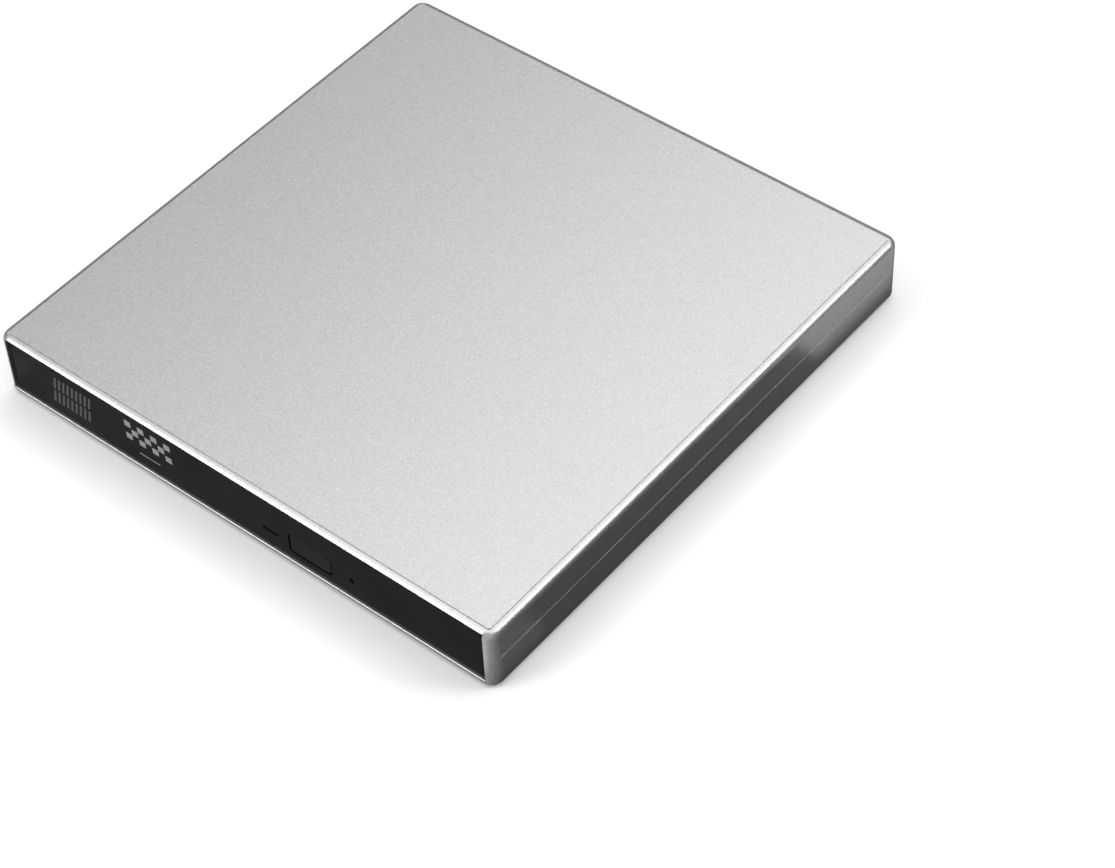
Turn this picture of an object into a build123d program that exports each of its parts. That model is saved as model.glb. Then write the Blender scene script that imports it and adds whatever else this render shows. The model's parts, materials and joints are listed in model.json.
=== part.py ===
from build123d import *
import math
import os

# Slim external optical drive. Millimetres, +Z up, the bezel faces -Y.
# The origin is at the centre of the footprint, on the surface that the feet stand on.

# --- Driving dimensions -----------------------------------------------------------------
CASE_W = 145.0
CASE_D = 147.5
CASE_H = 17.2
FEET_H = 0.8
WALL = 1.6
SIDE_WALL = 2.5
FLOOR_T = 1.5
ROOF_T = 0.7
CORNER_R = 3.1
TOP_EDGE_R = 1.8
BOTTOM_EDGE_R = 0.9
SEAM_CHAMFER = 0.04
LIP_CHAMFER = 0.1
GROOVE_OUTER_INSET, GROOVE_INNER_INSET = 1.55, 2.0
ROOF_GROOVE_DEPTH, ROOF_GROOVE_CORNER_R = 0.3, 0.6
TONGUE_T = 0.7
TONGUE_H = 1.2
GAP = 0.1

CASE_BOTTOM = FEET_H
CASE_TOP = FEET_H + CASE_H
SEAM_Z = CASE_BOTTOM + CASE_H / 2
FLOOR_Z = CASE_BOTTOM + FLOOR_T
ROOF_Z = CASE_TOP - ROOF_T
FRONT_Y = -CASE_D / 2
REAR_Y = CASE_D / 2

# Case screws and the bosses they run in
BOSS_X, BOSS_FRONT_Y, BOSS_REAR_Y = 68.2, -58.0, 65.0
BOSS_R = 3.0
CASE_SCREW_R, CASE_SCREW_HEAD_R = 1.0, 1.9
CASE_SCREW_HEAD_H = 1.4
HEAD_POCKET_R, HEAD_POCKET_DEPTH = 2.1, 2.0
SCREW_END_BELOW_ROOF, BOSS_HOLE_BELOW_ROOF = 3.0, 2.0
FOOT_X, FOOT_Y, FOOT_R, FOOT_POCKET = 57.0, 60.0, 5.0, 0.4
FOOT_EDGE_R = 0.3
# Ribs beside the mechanism, pads under it, and long ribs over it
RIB_Y, RIB_T, RIB_GAP = 35.0, 2.0, 0.3
PAD_X, PAD_W, PAD_L = 52.0, 8.0, 16.0
ROOF_RIB_X, ROOF_RIB_Y0, ROOF_RIB_Y1 = 48.0, -50.0, 45.0

# Slim mechanism housing: 128 x 126 x 12.7 over its lid
DRIVE_W = 128.0
DRIVE_H = 12.7
DRIVE_Z = 3.3
DRIVE_FRONT_Y, DRIVE_REAR_Y = -69.3, 56.7
SHEET_T = 0.6
FLANGE_T = 0.5
FLANGE_H = 4.0
LID_Z = DRIVE_Z + DRIVE_H - SHEET_T
PAN_W = DRIVE_W - 2 * FLANGE_T
PAN_INNER_X = PAN_W / 2 - SHEET_T
PAN_FLOOR_Z = DRIVE_Z + SHEET_T
PAN_WINDOW_X, PAN_WINDOW_Z0, PAN_WINDOW_Z1 = 13.0, 4.6, 9.0
# Screws that hold the lid's flanges to the pan
CHASSIS_SCREW_R, CHASSIS_HOLE_R, CHASSIS_HEAD_R, CHASSIS_HEAD_H = 0.6, 0.65, 1.2, 0.5
CHASSIS_SCREW_Y = (-42.0, 38.0)
CHASSIS_SCREW_Z = DRIVE_Z + DRIVE_H - FLANGE_H / 2
# Pin on the pan's floor that the tray's lock hooks on to
LOCK_PIN_X, LOCK_PIN_Y, LOCK_PIN_R, LOCK_PIN_TOP_Z = -30.0, -20.0, 1.0, 7.0
LOCK_PIN_BASE_R, LOCK_PIN_BASE_H = 1.8, 0.5

# Rail guides, slide rails and the grooves that hold them
GUIDE_T = 1.7
GUIDE_Z, GUIDE_H = 7.6, 5.3
RAIL_Z, RAIL_T, RAIL_W = 9.6, 1.4, 1.9
GROOVE_DEPTH = 1.1
GROOVE_SIDE_GAP, GROOVE_END_GAP = 0.4, 0.3
GUIDE_FRONT_Y, GUIDE_REAR_Y = -66.0, 50.0
RAIL_FRONT_Y, RAIL_REAR_Y = -60.0, 46.0
RAIL_EDGE_R = 0.2
GUIDE_INNER_X = PAN_INNER_X - GUIDE_T
RAIL_OUTER_X = GUIDE_INNER_X + GROOVE_DEPTH - GROOVE_END_GAP
TRAY_SIDE_X = GUIDE_INNER_X - GROOVE_END_GAP

# Tray and disc well
TRAY_FRONT_Y, TRAY_REAR_Y = -69.0, 55.4
TRAY_TOP_Z, TRAY_PLATE_T = 14.9, 1.6
TRAY_PLATE_W = 125.0
WELL_R, WELL_FLOOR_Z, WELL_FLOOR_T = 60.6, 12.6, 1.0
WELL_RIM = 1.0
SKIRT_T, SKIRT_Z = 2.3, 8.4
FRONT_WALL_T, FRONT_WALL_Z = 2.2, 4.8
REAR_WALL_X, REAR_WALL_T, REAR_WALL_Z = 56.0, 2.4, 9.4
TRAY_CORNER_R = 3.0
NOTCH_X, NOTCH_Y, NOTCH_R = 45.0, -50.5, 9.0
HUB_Y = -6.0

# Bezel, eject button, status light and emergency hole
BEZEL_RECESS = 0.5
BEZEL_CLEARANCE = 0.3
BEZEL_T = 3.65
BEZEL_SKIN = 2.2
BEZEL_FRONT_Y = FRONT_Y + BEZEL_RECESS
BEZEL_BACK_Y = BEZEL_FRONT_Y + BEZEL_T
BUTTON_X, BUTTON_Z, BUTTON_W, BUTTON_H = 21.1, 7.3, 11.8, 5.0
BUTTON_GAP = 0.35
LED_X, LED_Z, LED_W, LED_H = 9.55, 7.2, 4.5, 0.7
PINHOLE_X, PINHOLE_Z, PINHOLE_R = 33.0, 7.4, 0.7
BEZEL_RIM, BEZEL_CORNER_R, BEZEL_EDGE_R = 1.6, 0.8, 0.3
BEZEL_LUGS_X, LUG_W, LUG_Z0, LUG_Z1 = (-58.0, -20.0, 48.0, 60.0), 4.0, 9.0, 13.0
# The button's corners are squarer on its left than on its right
BUTTON_LEFT_R, BUTTON_RIGHT_R, BUTTON_EDGE_R, BUTTON_HOLE_EXTRA_R = 0.5, 1.4, 0.25, 0.2
BUTTON_STANDS_BACK, LED_STANDS_BACK, LED_GAP = 0.1, 0.5, 0.1
STEM_W, STEM_Z0, STEM_Z1, STEM_Y = 3.0, 6.0, 8.6, -68.0
BUTTON_DOORWAY = (14.0, 28.5, 4.0, 10.2)
# Switch behind the button: its body, and its own plunger
SWITCH_W, SWITCH_Y0, SWITCH_Y1, SWITCH_TOP_Z = 6.0, -66.4, -63.6, 9.4
SWITCH_PLUNGER_W, SWITCH_PLUNGER_Z0, SWITCH_PLUNGER_Z1, SWITCH_REACH = 2.0, 6.6, 8.2, 0.8

# Main board under the tray, and what it carries
MAIN_BOARD_TOP_Z, MAIN_BOARD_T = 6.2, 0.8
MAIN_BOARD_X0, MAIN_BOARD_X1, MAIN_BOARD_STEP_X = -57.0, 30.0, -6.0
MAIN_BOARD_Y0, MAIN_BOARD_STEP_Y, MAIN_BOARD_Y1 = -66.5, -63.3, -34.0
BOARD_BOSSES = ((-52.0, -60.0), (-12.0, -38.0))
BOARD_BOSS_R, TRAY_HOLE_R, TRAY_SCREW_R = 2.2, 0.8, 0.78
BOARD_SCREW_HEAD_R, BOARD_SCREW_HEAD_Z, BOARD_SCREW_END_Z = 1.6, 4.8, 10.6
# Chips as x, y, side and height
MAIN_CHIPS = ((-36.0, -50.0, 14.0, 1.4), (-18.0, -55.0, 9.0, 1.2), (-50.0, -42.0, 6.0, 1.0))
CHIP_CHAMFER = 0.2

# Pickup mechanism, in a frame at the hub whose first axis points the way the sled travels
TRAVEL_ANGLE = -45.0
BASE_U0, BASE_U1 = -20.0, 64.5
BASE_V0, BASE_V1 = -19.0, 19.5
BASE_WALL = 2.2
BASE_Z, BASE_PLATE_Z, BASE_TOP_Z = 5.4, 10.0, 11.2
BASE_CORNER_R, BASE_INNER_R, COVER_CORNER_R = 5.0, 3.0, 4.0
LENS_SLOT_U0, LENS_SLOT_U1, LENS_SLOT_V = 12.5, 62.0, 8.6
COVER_U1, COVER_V, COVER_INSET = 61.5, 18.0, 1.0
COVER_SLOT_U0, COVER_SLOT_U1, COVER_SLOT_V = 12.0, 60.8, 8.2
COVER_T = 0.4
# Ears that hang the mechanism from the tray on rubber dampers
EARS = ((-14.0, -22.5), (-14.0, 23.0), (46.0, -22.5), (46.0, 23.0))
EAR_R, DAMPER_R, DAMPER_BORE_R, DAMPER_Z = 4.0, 2.2, 0.9, 9.4
EAR_SCREW_HEAD_R, EAR_SCREW_HEAD_H = 2.0, 0.6
# Tray window over the mechanism, and the narrower slot past its end for the sled's top plate
WINDOW_U0, WINDOW_U1, WINDOW_V, WINDOW_R = -17.0, 54.0, 16.0, 4.0
TAIL_U0, TAIL_U1, TAIL_V = 40.0, 60.3, 7.7
ROD_R, ROD_Z = 1.0, 8.0
ROD_V = (-14.5, 15.5)
ROD_U0, ROD_U1 = 8.0, 63.5
SCREW_R, SCREW_V, SCREW_Z = 1.0, 11.5, 7.5
SCREW_U0, SCREW_U1 = 23.0, 62.1
JOURNAL_R, JOURNAL_L = 0.6, 1.6
JOURNAL_GAP, MOTOR_JOURNAL_L, END_JOURNAL_L = 0.3, 2.4, 1.2
ROD_BRACKET_L, ROD_BRACKET_HALF_W, ROD_BRACKET_Z = 2.0, 1.6, 6.2
LENS_HOME_U = 24.0
SLED_BACK, SLED_FRONT = 9.5, 4.5
RUNNING_GAP = 0.05
ROTOR_R, TURNTABLE_R, HUB_BOSS_R, SHAFT_R = 11.2, 13.0, 7.4, 0.8
STATOR_R, STATOR_TOP_Z = 9.0, 10.6
MOTOR_PLATE_U1, MOTOR_PLATE_V0, MOTOR_PLATE_V1, MOTOR_PLATE_T = 11.0, -18.0, 18.5, 0.7
ROTOR_GAP, ROTOR_Z, ROTOR_WALL, ROTOR_CEILING_Z = 0.6, 6.0, 1.0, 11.2
TURNTABLE_Z, TURNTABLE_TOP_Z, HUB_TOP_Z, HUB_EDGE_R = 12.4, 13.1, 15.0, 0.6
RING_INNER_R, RING_T = 10.6, 0.3
CLAW_COUNT = 3
CLAW_W, CLAW_Z, CLAW_H = 3.0, 14.1, 0.7
CLAW_INNER_R, CLAW_OUTER_R = 5.0, 7.75
CLAW_SLOT_INNER, CLAW_SLOT_OUTER, CLAW_SLOT_GAP, CLAW_SLOT_H = 0.9, 1.0, 0.3, 2.0
# Pickup sled: its body, its turret, its bearing arm and its bridge to the second rod
SLED_Z, SLED_TOP_Z, SLED_V0, SLED_V1 = 5.0, 9.6, -12.4, 8.4
TURRET_TOP_Z, TURRET_V, TURRET_BACK, TURRET_FRONT = 11.4, 7.6, 1.2, 0.4
ARM_V0, ARM_Z = -16.4, 6.4
BRIDGE_L, BRIDGE_V1, BRIDGE_Z, BRIDGE_TOP_Z = 4.5, 17.0, 8.8, 9.8
FORK_V0, FORK_Z = 14.0, 6.6
NUT_L, NUT_V0, NUT_V1, NUT_Z = 4.0, 9.8, 13.2, 6.0
LASER_V, LASER_Z, LASER_R, LASER_L = -10.0, 8.0, 1.4, 1.2
PLATE_BACK, PLATE_FRONT, PLATE_V, PLATE_T, PLATE_HOLE_R = 1.6, 0.6, 7.2, 0.2, 2.4
MAGNET_U0, MAGNET_U1, MAGNET_V, MAGNET_H = 2.0, 4.2, 3.0, 0.9
SLED_CORNER_R, TURRET_CORNER_R = 1.0, 0.8
LENS_R, LENS_EDGE_R, LENS_BASE, LENS_CROWN = 2.0, 0.5, 0.1, 0.75
HOLDER_Z, HOLDER_T, HOLDER_HALF_W = 12.1, 0.6, 3.6
# Stepper motor that turns the lead screw, and the saddle that hangs it
STEPPER_R, STEPPER_BACK, STEPPER_FRONT = 2.4, 11.0, 0.6
SADDLE_BACK, SADDLE_FRONT, SADDLE_HALF_W, SADDLE_Z = 10.0, 2.0, 1.6, 8.6

# Tray lock: a solenoid, and a lever on a post
SOLENOID = (-57.0, -47.0, -30.0, -21.0)
LOCK_PIVOT_X, LOCK_PIVOT_Y, LOCK_PIVOT_R, LOCK_HUB_R = -44.0, -12.0, 1.2, 2.6
LOCK_Z, LOCK_TOP_Z = 5.0, 6.4
LOCK_ARM_X0, LOCK_ARM_X1, LOCK_ARM_Y = -45.5, -42.5, -24.0
LOCK_HOOK_X1, LOCK_HOOK_Y0, LOCK_HOOK_Y1 = -36.0, -26.0, -23.0

# Ejector at the tray's rear
EJECTOR_X, EJECTOR_Z, EJECTOR_R = 40.0, 7.5, 1.6
BARREL_R, BARREL_BORE_R, BARREL_Y0, BARREL_Y1, BARREL_BACK_T = 2.6, 1.9, 30.0, 50.0, 2.0
BARREL_RIB_T, BARREL_RIB_UP, BARREL_RIB_INSET = 2.0, 2.3, 1.0
PLUNGER_Y0, PLUNGER_Y1 = 44.0, 55.6

# Bridge board and its sockets
BOARD_Z, BOARD_T = 3.9, 1.2
BOARD_X0, BOARD_X1, BOARD_Y0, BOARD_Y1 = -54.0, 62.0, 57.2, 71.6
USB_X, USB_W, USB_H, USB_L = 30.0, 12.0, 11.0, 16.0
USB_FRONT_Y = REAR_Y - 0.4
USB_SHELL_T = 0.4
USB_CAVITY_W, USB_CAVITY_H, USB_CAVITY_L = 8.6, 7.95, 9.0
JACK_X, JACK_W, JACK_H, JACK_BODY_L = 50.0, 9.0, 11.0, 13.0
JACK_NOSE_R, JACK_BORE_R, JACK_PIN_R = 4.2, 2.9, 1.0
JACK_BORE_DEPTH, JACK_PIN_RECESS = 10.0, 2.6
JACK_MOUTH_L, JACK_CAVITY_R = 2.4, 3.2
SOCKET_CLEARANCE = 0.15
BOARD_TOP_Z = BOARD_Z + BOARD_T
USB_MID_Z = BOARD_TOP_Z + USB_H / 2
JACK_Z = BOARD_TOP_Z + 6.5
BOARD_POSTS = ((-48.0, 64.5), (58.5, 61.0))
BOARD_POST_R, BOARD_POST_HOLE_R, BOARD_HOLE_R, BOARD_CORNER_R = 2.5, 0.9, 1.1, 1.0
BOARD_HEAD_R, BOARD_HEAD_H = 1.8, 0.9
CHIP_BOX = (-40.0, -31.0, 60.5, 69.5)
CHIP_H = 1.4
CRYSTAL_X, CRYSTAL_Y, CRYSTAL_L, CRYSTAL_W, CRYSTAL_H = -23.0, 65.0, 10.0, 4.4, 3.4
CAPACITORS_X, CAPACITOR_Y, CAPACITOR_R, CAPACITOR_H = (11.0, 18.5), 64.5, 2.5, 6.0
USB_EDGE_R, USB_CORNER_CUT = 0.6, 1.9
USB_TONGUE_W, USB_TONGUE_H, USB_TONGUE_RECESS = 5.6, 3.1, 1.2
CONTACT_X, CONTACT_W, CONTACT_T = 1.25, 1.0, 0.2
# The housing's rear connector, the bridge board's plug, and the ribbon
PLUG_HALF_W, PLUG_Y0, PLUG_Z0, PLUG_TOP_Z = 12.0, 51.5, 4.8, 8.8
PLUG_SLOT_HALF_W, PLUG_SLOT_Y0, PLUG_SLOT_Z0, PLUG_SLOT_Z1 = 10.4, 53.5, 5.9, 7.5
BOARD_PLUG_Y1, BLADE_HALF_W, BLADE_Y0, BLADE_Z0, BLADE_Z1 = 61.5, 10.2, 54.0, 6.1, 7.3
FLEX_HALF_W, FLEX_Y0, FLEX_Y1, FLEX_T = 9.0, -24.0, 53.0, 0.15


def block(x0, x1, y0, y1, z0, z1, mode=Mode.ADD):
    """A rectangular block between two corners, in the part being built."""
    with BuildSketch(Plane.XY.offset(z0)) as profile:
        with Locations(((x0 + x1) / 2, (y0 + y1) / 2)):
            Rectangle(x1 - x0, y1 - y0)
    return extrude(profile.sketch, amount=z1 - z0, mode=mode)


def post(x, y, radius, z0, z1, mode=Mode.ADD):
    """An upright round post or hole, in the part being built."""
    with BuildSketch(Plane.XY.offset(z0)) as profile:
        with Locations((x, y)):
            Circle(radius)
    return extrude(profile.sketch, amount=z1 - z0, mode=mode)


def hub_plane(z):
    """The sled's own plane: origin on the spindle axis, local x along the sled's travel."""
    angle = math.radians(TRAVEL_ANGLE)
    return Plane(origin=(0, HUB_Y, z), x_dir=(math.cos(angle), math.sin(angle), 0), z_dir=(0, 0, 1))


def hub_block(u0, u1, v0, v1, z0, z1, mode=Mode.ADD, corner=0.0):
    """A block between two corners in the sled's frame, with optional rounded upright edges."""
    with BuildSketch(hub_plane(z0)) as profile:
        with Locations(((u0 + u1) / 2, (v0 + v1) / 2)):
            if corner:
                RectangleRounded(u1 - u0, v1 - v0, corner)
            else:
                Rectangle(u1 - u0, v1 - v0)
    return extrude(profile.sketch, amount=z1 - z0, mode=mode)


def hub_post(u, v, radius, z0, z1, mode=Mode.ADD):
    """An upright round post or hole, placed in the sled's frame."""
    with BuildSketch(hub_plane(z0)) as profile:
        with Locations((u, v)):
            Circle(radius)
    return extrude(profile.sketch, amount=z1 - z0, mode=mode)


def hub_rod(u0, u1, v, z, radius, mode=Mode.ADD):
    """A round rod or bore that runs along the sled's travel."""
    across = hub_plane(z)
    start = across.from_local_coords(Vector(u0, v, 0))
    with BuildSketch(Plane(origin=start, x_dir=(0, 0, 1), z_dir=across.x_dir)) as profile:
        Circle(radius)
    return extrude(profile.sketch, amount=u1 - u0, mode=mode)


def rear_opening(x, z, width, height, mode=Mode.SUBTRACT):
    """A rectangular opening through the rear wall."""
    x0, x1, z0, z1 = x - width / 2, x + width / 2, z - height / 2, z + height / 2
    return block(x0, x1, REAR_Y - 2 * WALL, REAR_Y + WALL, z0, z1, mode)


def rear_round(x, z, radius, y0, y1, mode=Mode.ADD):
    """A round boss or hole along Y, from y0 back to y1."""
    with BuildSketch(Plane(origin=(x, y0, z), x_dir=(1, 0, 0), z_dir=(0, 1, 0))) as profile:
        Circle(radius)
    return extrude(profile.sketch, amount=y1 - y0, mode=mode)


def save(builder, name):
    """Label a finished piece and write its STEP file."""
    builder.part.label = name
    export_step(builder.part, f"parts/{name}.step")


os.makedirs("parts", exist_ok=True)
BOSSES = [(x, y) for x in (-BOSS_X, BOSS_X) for y in (BOSS_FRONT_Y, BOSS_REAR_Y)]
FEET = [(x, y) for x in (-FOOT_X, FOOT_X) for y in (-FOOT_Y, FOOT_Y)]
OPENING_X = CASE_W / 2 - SIDE_WALL
JACK_HOLE_R = JACK_NOSE_R + 0.2
INNER_W, INNER_D, INNER_R = CASE_W - 2 * SIDE_WALL, CASE_D - 2 * WALL, CORNER_R - WALL

# --- Case -------------------------------------------------------------------------------
LIP_T = WALL - TONGUE_T - GAP
REBATE_Z = SEAM_Z - TONGUE_H - GAP
FRONT_CUT_Y = FRONT_Y + CORNER_R + WALL

with BuildPart() as bottom_cover:
    with BuildSketch(Plane.XY.offset(CASE_BOTTOM)):
        RectangleRounded(CASE_W, CASE_D, CORNER_R)
    extrude(amount=SEAM_Z - CASE_BOTTOM)
    fillet(bottom_cover.edges().group_by(Axis.Z)[0], BOTTOM_EDGE_R)
    chamfer(bottom_cover.edges().group_by(Axis.Z)[-1], SEAM_CHAMFER)
    with BuildSketch(Plane.XY.offset(FLOOR_Z)):
        RectangleRounded(INNER_W, INNER_D, INNER_R)
    extrude(amount=CASE_H, mode=Mode.SUBTRACT)
    for boss_x, boss_y in BOSSES:
        post(boss_x, boss_y, BOSS_R, FLOOR_Z, REBATE_Z)
    # Side ribs that locate the mechanism, pads that carry it and posts for the board
    for side in (-1, 1):
        for rib_y in (-RIB_Y, RIB_Y):
            near, far = sorted((side * (DRIVE_W / 2 + RIB_GAP), side * (OPENING_X + RIB_GAP)))
            block(near, far, rib_y - RIB_T / 2, rib_y + RIB_T / 2, FLOOR_Z, REBATE_Z)
            pad_x0, pad_x1 = side * PAD_X - PAD_W / 2, side * PAD_X + PAD_W / 2
            block(pad_x0, pad_x1, rib_y - PAD_L / 2, rib_y + PAD_L / 2, FLOOR_Z, DRIVE_Z)
    for post_x, post_y in BOARD_POSTS:
        post(post_x, post_y, BOARD_POST_R, FLOOR_Z, BOARD_Z)
        post(post_x, post_y, BOARD_POST_HOLE_R, FLOOR_Z, BOARD_Z, Mode.SUBTRACT)
    with BuildSketch(Plane.XY.offset(REBATE_Z)):
        RectangleRounded(CASE_W - 2 * LIP_T, CASE_D - 2 * LIP_T, CORNER_R - LIP_T)
    extrude(amount=CASE_H, mode=Mode.SUBTRACT)
    block(-OPENING_X, OPENING_X, FRONT_Y - WALL, FRONT_CUT_Y, FLOOR_Z, CASE_TOP, Mode.SUBTRACT)
    floor_edges = bottom_cover.edges().filter_by_position(Axis.Z, FLOOR_Z - GAP, FLOOR_Z + GAP)
    front_lip = floor_edges.filter_by(Axis.X).group_by(Axis.Y)[0]
    chamfer(front_lip, LIP_CHAMFER)
    rear_opening(USB_X, USB_MID_Z, USB_W + 2 * SOCKET_CLEARANCE, USB_H + 2 * SOCKET_CLEARANCE)
    rear_round(JACK_X, JACK_Z, JACK_HOLE_R, REAR_Y - 2 * WALL, REAR_Y + WALL, Mode.SUBTRACT)
    for boss_x, boss_y in BOSSES:
        post(boss_x, boss_y, CASE_SCREW_R + GAP, CASE_BOTTOM, SEAM_Z, Mode.SUBTRACT)
        post(boss_x, boss_y, HEAD_POCKET_R, CASE_BOTTOM, CASE_BOTTOM + HEAD_POCKET_DEPTH, Mode.SUBTRACT)
    for foot_x, foot_y in FEET:
        post(foot_x, foot_y, FOOT_R, CASE_BOTTOM, CASE_BOTTOM + FOOT_POCKET, Mode.SUBTRACT)
save(bottom_cover, "bottom_cover")

with BuildPart() as top_cover:
    with BuildSketch(Plane.XY.offset(SEAM_Z)):
        RectangleRounded(CASE_W, CASE_D, CORNER_R)
    extrude(amount=CASE_TOP - SEAM_Z)
    fillet(top_cover.edges().group_by(Axis.Z)[-1], TOP_EDGE_R)
    chamfer(top_cover.edges().group_by(Axis.Z)[0], SEAM_CHAMFER)
    # The tongue that drops inside the lip of the bottom cover
    tongue_inset = LIP_T + GAP
    with BuildSketch(Plane.XY.offset(SEAM_Z - TONGUE_H)):
        RectangleRounded(CASE_W - 2 * tongue_inset, CASE_D - 2 * tongue_inset, CORNER_R - tongue_inset)
    extrude(amount=TONGUE_H)
    with BuildSketch(Plane.XY.offset(SEAM_Z - TONGUE_H)):
        RectangleRounded(INNER_W, INNER_D, INNER_R)
    extrude(amount=ROOF_Z - SEAM_Z + TONGUE_H, mode=Mode.SUBTRACT)
    for boss_x, boss_y in BOSSES:
        post(boss_x, boss_y, BOSS_R, REBATE_Z + GAP, ROOF_Z)
        post(boss_x, boss_y, CASE_SCREW_R, REBATE_Z + GAP, ROOF_Z - BOSS_HOLE_BELOW_ROOF, Mode.SUBTRACT)
    # Ribs under the roof that hold the mechanism down
    for rib_x in (-ROOF_RIB_X, ROOF_RIB_X):
        block(rib_x - RIB_T / 2, rib_x + RIB_T / 2, ROOF_RIB_Y0, ROOF_RIB_Y1, DRIVE_Z + DRIVE_H, ROOF_Z)
    # The hairline groove round the roof, where its edge radius begins
    with BuildSketch(Plane.XY.offset(CASE_TOP - ROOF_GROOVE_DEPTH)):
        for inset, mode in ((GROOVE_OUTER_INSET, Mode.ADD), (GROOVE_INNER_INSET, Mode.SUBTRACT)):
            RectangleRounded(CASE_W - 2 * inset, CASE_D - 2 * inset, ROOF_GROOVE_CORNER_R, mode=mode)
    extrude(amount=TOP_EDGE_R, mode=Mode.SUBTRACT)
    block(-OPENING_X, OPENING_X, FRONT_Y - WALL, FRONT_CUT_Y, 0.0, ROOF_Z, Mode.SUBTRACT)
    rear_opening(USB_X, USB_MID_Z, USB_W + 2 * SOCKET_CLEARANCE, USB_H + 2 * SOCKET_CLEARANCE)
    rear_round(JACK_X, JACK_Z, JACK_HOLE_R, REAR_Y - 2 * WALL, REAR_Y + WALL, Mode.SUBTRACT)
save(top_cover, "top_cover")

with BuildPart() as rubber_feet:
    for foot_x, foot_y in FEET:
        post(foot_x, foot_y, FOOT_R - GAP, 0.0, CASE_BOTTOM + FOOT_POCKET)
    fillet(rubber_feet.edges().group_by(Axis.Z)[0], FOOT_EDGE_R)
save(rubber_feet, "rubber_feet")

with BuildPart() as case_screws:
    head_top = CASE_BOTTOM + HEAD_POCKET_DEPTH
    for boss_x, boss_y in BOSSES:
        post(boss_x, boss_y, CASE_SCREW_HEAD_R, head_top - CASE_SCREW_HEAD_H, head_top)
        post(boss_x, boss_y, CASE_SCREW_R, head_top, ROOF_Z - SCREW_END_BELOW_ROOF)
save(case_screws, "case_screws")

# --- Mechanism housing ------------------------------------------------------------------
CHASSIS_SCREWS = [(side, y) for side in (-1, 1) for y in CHASSIS_SCREW_Y]
CHASSIS_HOLE = (CHASSIS_HOLE_R, 2.0, PAN_W / 2 - 1.2)


def side_round(side, y, z, radius, reach, inset, mode=Mode.ADD):
    """A round boss or hole along X through the housing's side wall."""
    with BuildSketch(Plane(origin=(side * inset, y, z), x_dir=(0, 1, 0), z_dir=(side, 0, 0))) as profile:
        Circle(radius)
    return extrude(profile.sketch, amount=reach, mode=mode)


with BuildPart() as drive_pan:
    half = PAN_W / 2
    block(-half, half, DRIVE_FRONT_Y, DRIVE_REAR_Y, DRIVE_Z, LID_Z)
    inner_y0, inner_y1 = DRIVE_FRONT_Y - 1.0, DRIVE_REAR_Y - SHEET_T
    block(-PAN_INNER_X, PAN_INNER_X, inner_y0, inner_y1, PAN_FLOOR_Z, CASE_TOP, Mode.SUBTRACT)
    # Window for the rear connector
    window_y0, window_y1 = DRIVE_REAR_Y - 1.0, DRIVE_REAR_Y + 1.0
    block(-PAN_WINDOW_X, PAN_WINDOW_X, window_y0, window_y1, PAN_WINDOW_Z0, PAN_WINDOW_Z1, Mode.SUBTRACT)
    for side, screw_y in CHASSIS_SCREWS:
        side_round(side, screw_y, CHASSIS_SCREW_Z, *CHASSIS_HOLE, Mode.SUBTRACT)
save(drive_pan, "drive_pan")

with BuildPart() as drive_lid:
    half = DRIVE_W / 2
    block(-half, half, DRIVE_FRONT_Y, DRIVE_REAR_Y, LID_Z + SHEET_T - FLANGE_H, LID_Z + SHEET_T)
    block(-PAN_W / 2, PAN_W / 2, DRIVE_FRONT_Y - 1.0, DRIVE_REAR_Y + 1.0, DRIVE_Z, LID_Z, Mode.SUBTRACT)
    for side, screw_y in CHASSIS_SCREWS:
        side_round(side, screw_y, CHASSIS_SCREW_Z, *CHASSIS_HOLE, Mode.SUBTRACT)
save(drive_lid, "drive_lid")

with BuildPart() as chassis_screws:
    for side, screw_y in CHASSIS_SCREWS:
        shank = FLANGE_T + SHEET_T
        side_round(side, screw_y, CHASSIS_SCREW_Z, CHASSIS_SCREW_R, shank, DRIVE_W / 2 - shank)
        side_round(side, screw_y, CHASSIS_SCREW_Z, CHASSIS_HEAD_R, CHASSIS_HEAD_H, DRIVE_W / 2)
save(chassis_screws, "chassis_screws")

with BuildPart() as lock_pin:
    post(LOCK_PIN_X, LOCK_PIN_Y, LOCK_PIN_R, PAN_FLOOR_Z, LOCK_PIN_TOP_Z)
    post(LOCK_PIN_X, LOCK_PIN_Y, LOCK_PIN_BASE_R, PAN_FLOOR_Z, PAN_FLOOR_Z + LOCK_PIN_BASE_H)
save(lock_pin, "lock_pin")

for side, side_name in ((-1, "left"), (1, "right")):
    groove_z0 = RAIL_Z - GROOVE_SIDE_GAP
    groove_z1 = RAIL_Z + RAIL_T + GROOVE_SIDE_GAP
    with BuildPart() as rail_guide:
        x0, x1 = sorted((side * GUIDE_INNER_X, side * PAN_INNER_X))
        block(x0, x1, GUIDE_FRONT_Y, GUIDE_REAR_Y, GUIDE_Z, GUIDE_Z + GUIDE_H)
        x0, x1 = sorted((side * (GUIDE_INNER_X - 1.0), side * (GUIDE_INNER_X + GROOVE_DEPTH)))
        block(x0, x1, GUIDE_FRONT_Y - 1.0, GUIDE_REAR_Y + 1.0, groove_z0, groove_z1, Mode.SUBTRACT)
    save(rail_guide, f"{side_name}_rail_guide")
    with BuildPart() as slide_rail:
        x0, x1 = sorted((side * (RAIL_OUTER_X - RAIL_W), side * RAIL_OUTER_X))
        block(x0, x1, RAIL_FRONT_Y, RAIL_REAR_Y, RAIL_Z, RAIL_Z + RAIL_T)
        fillet(slide_rail.edges().filter_by(Axis.Y), RAIL_EDGE_R)
    save(slide_rail, f"{side_name}_slide_rail")

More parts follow.
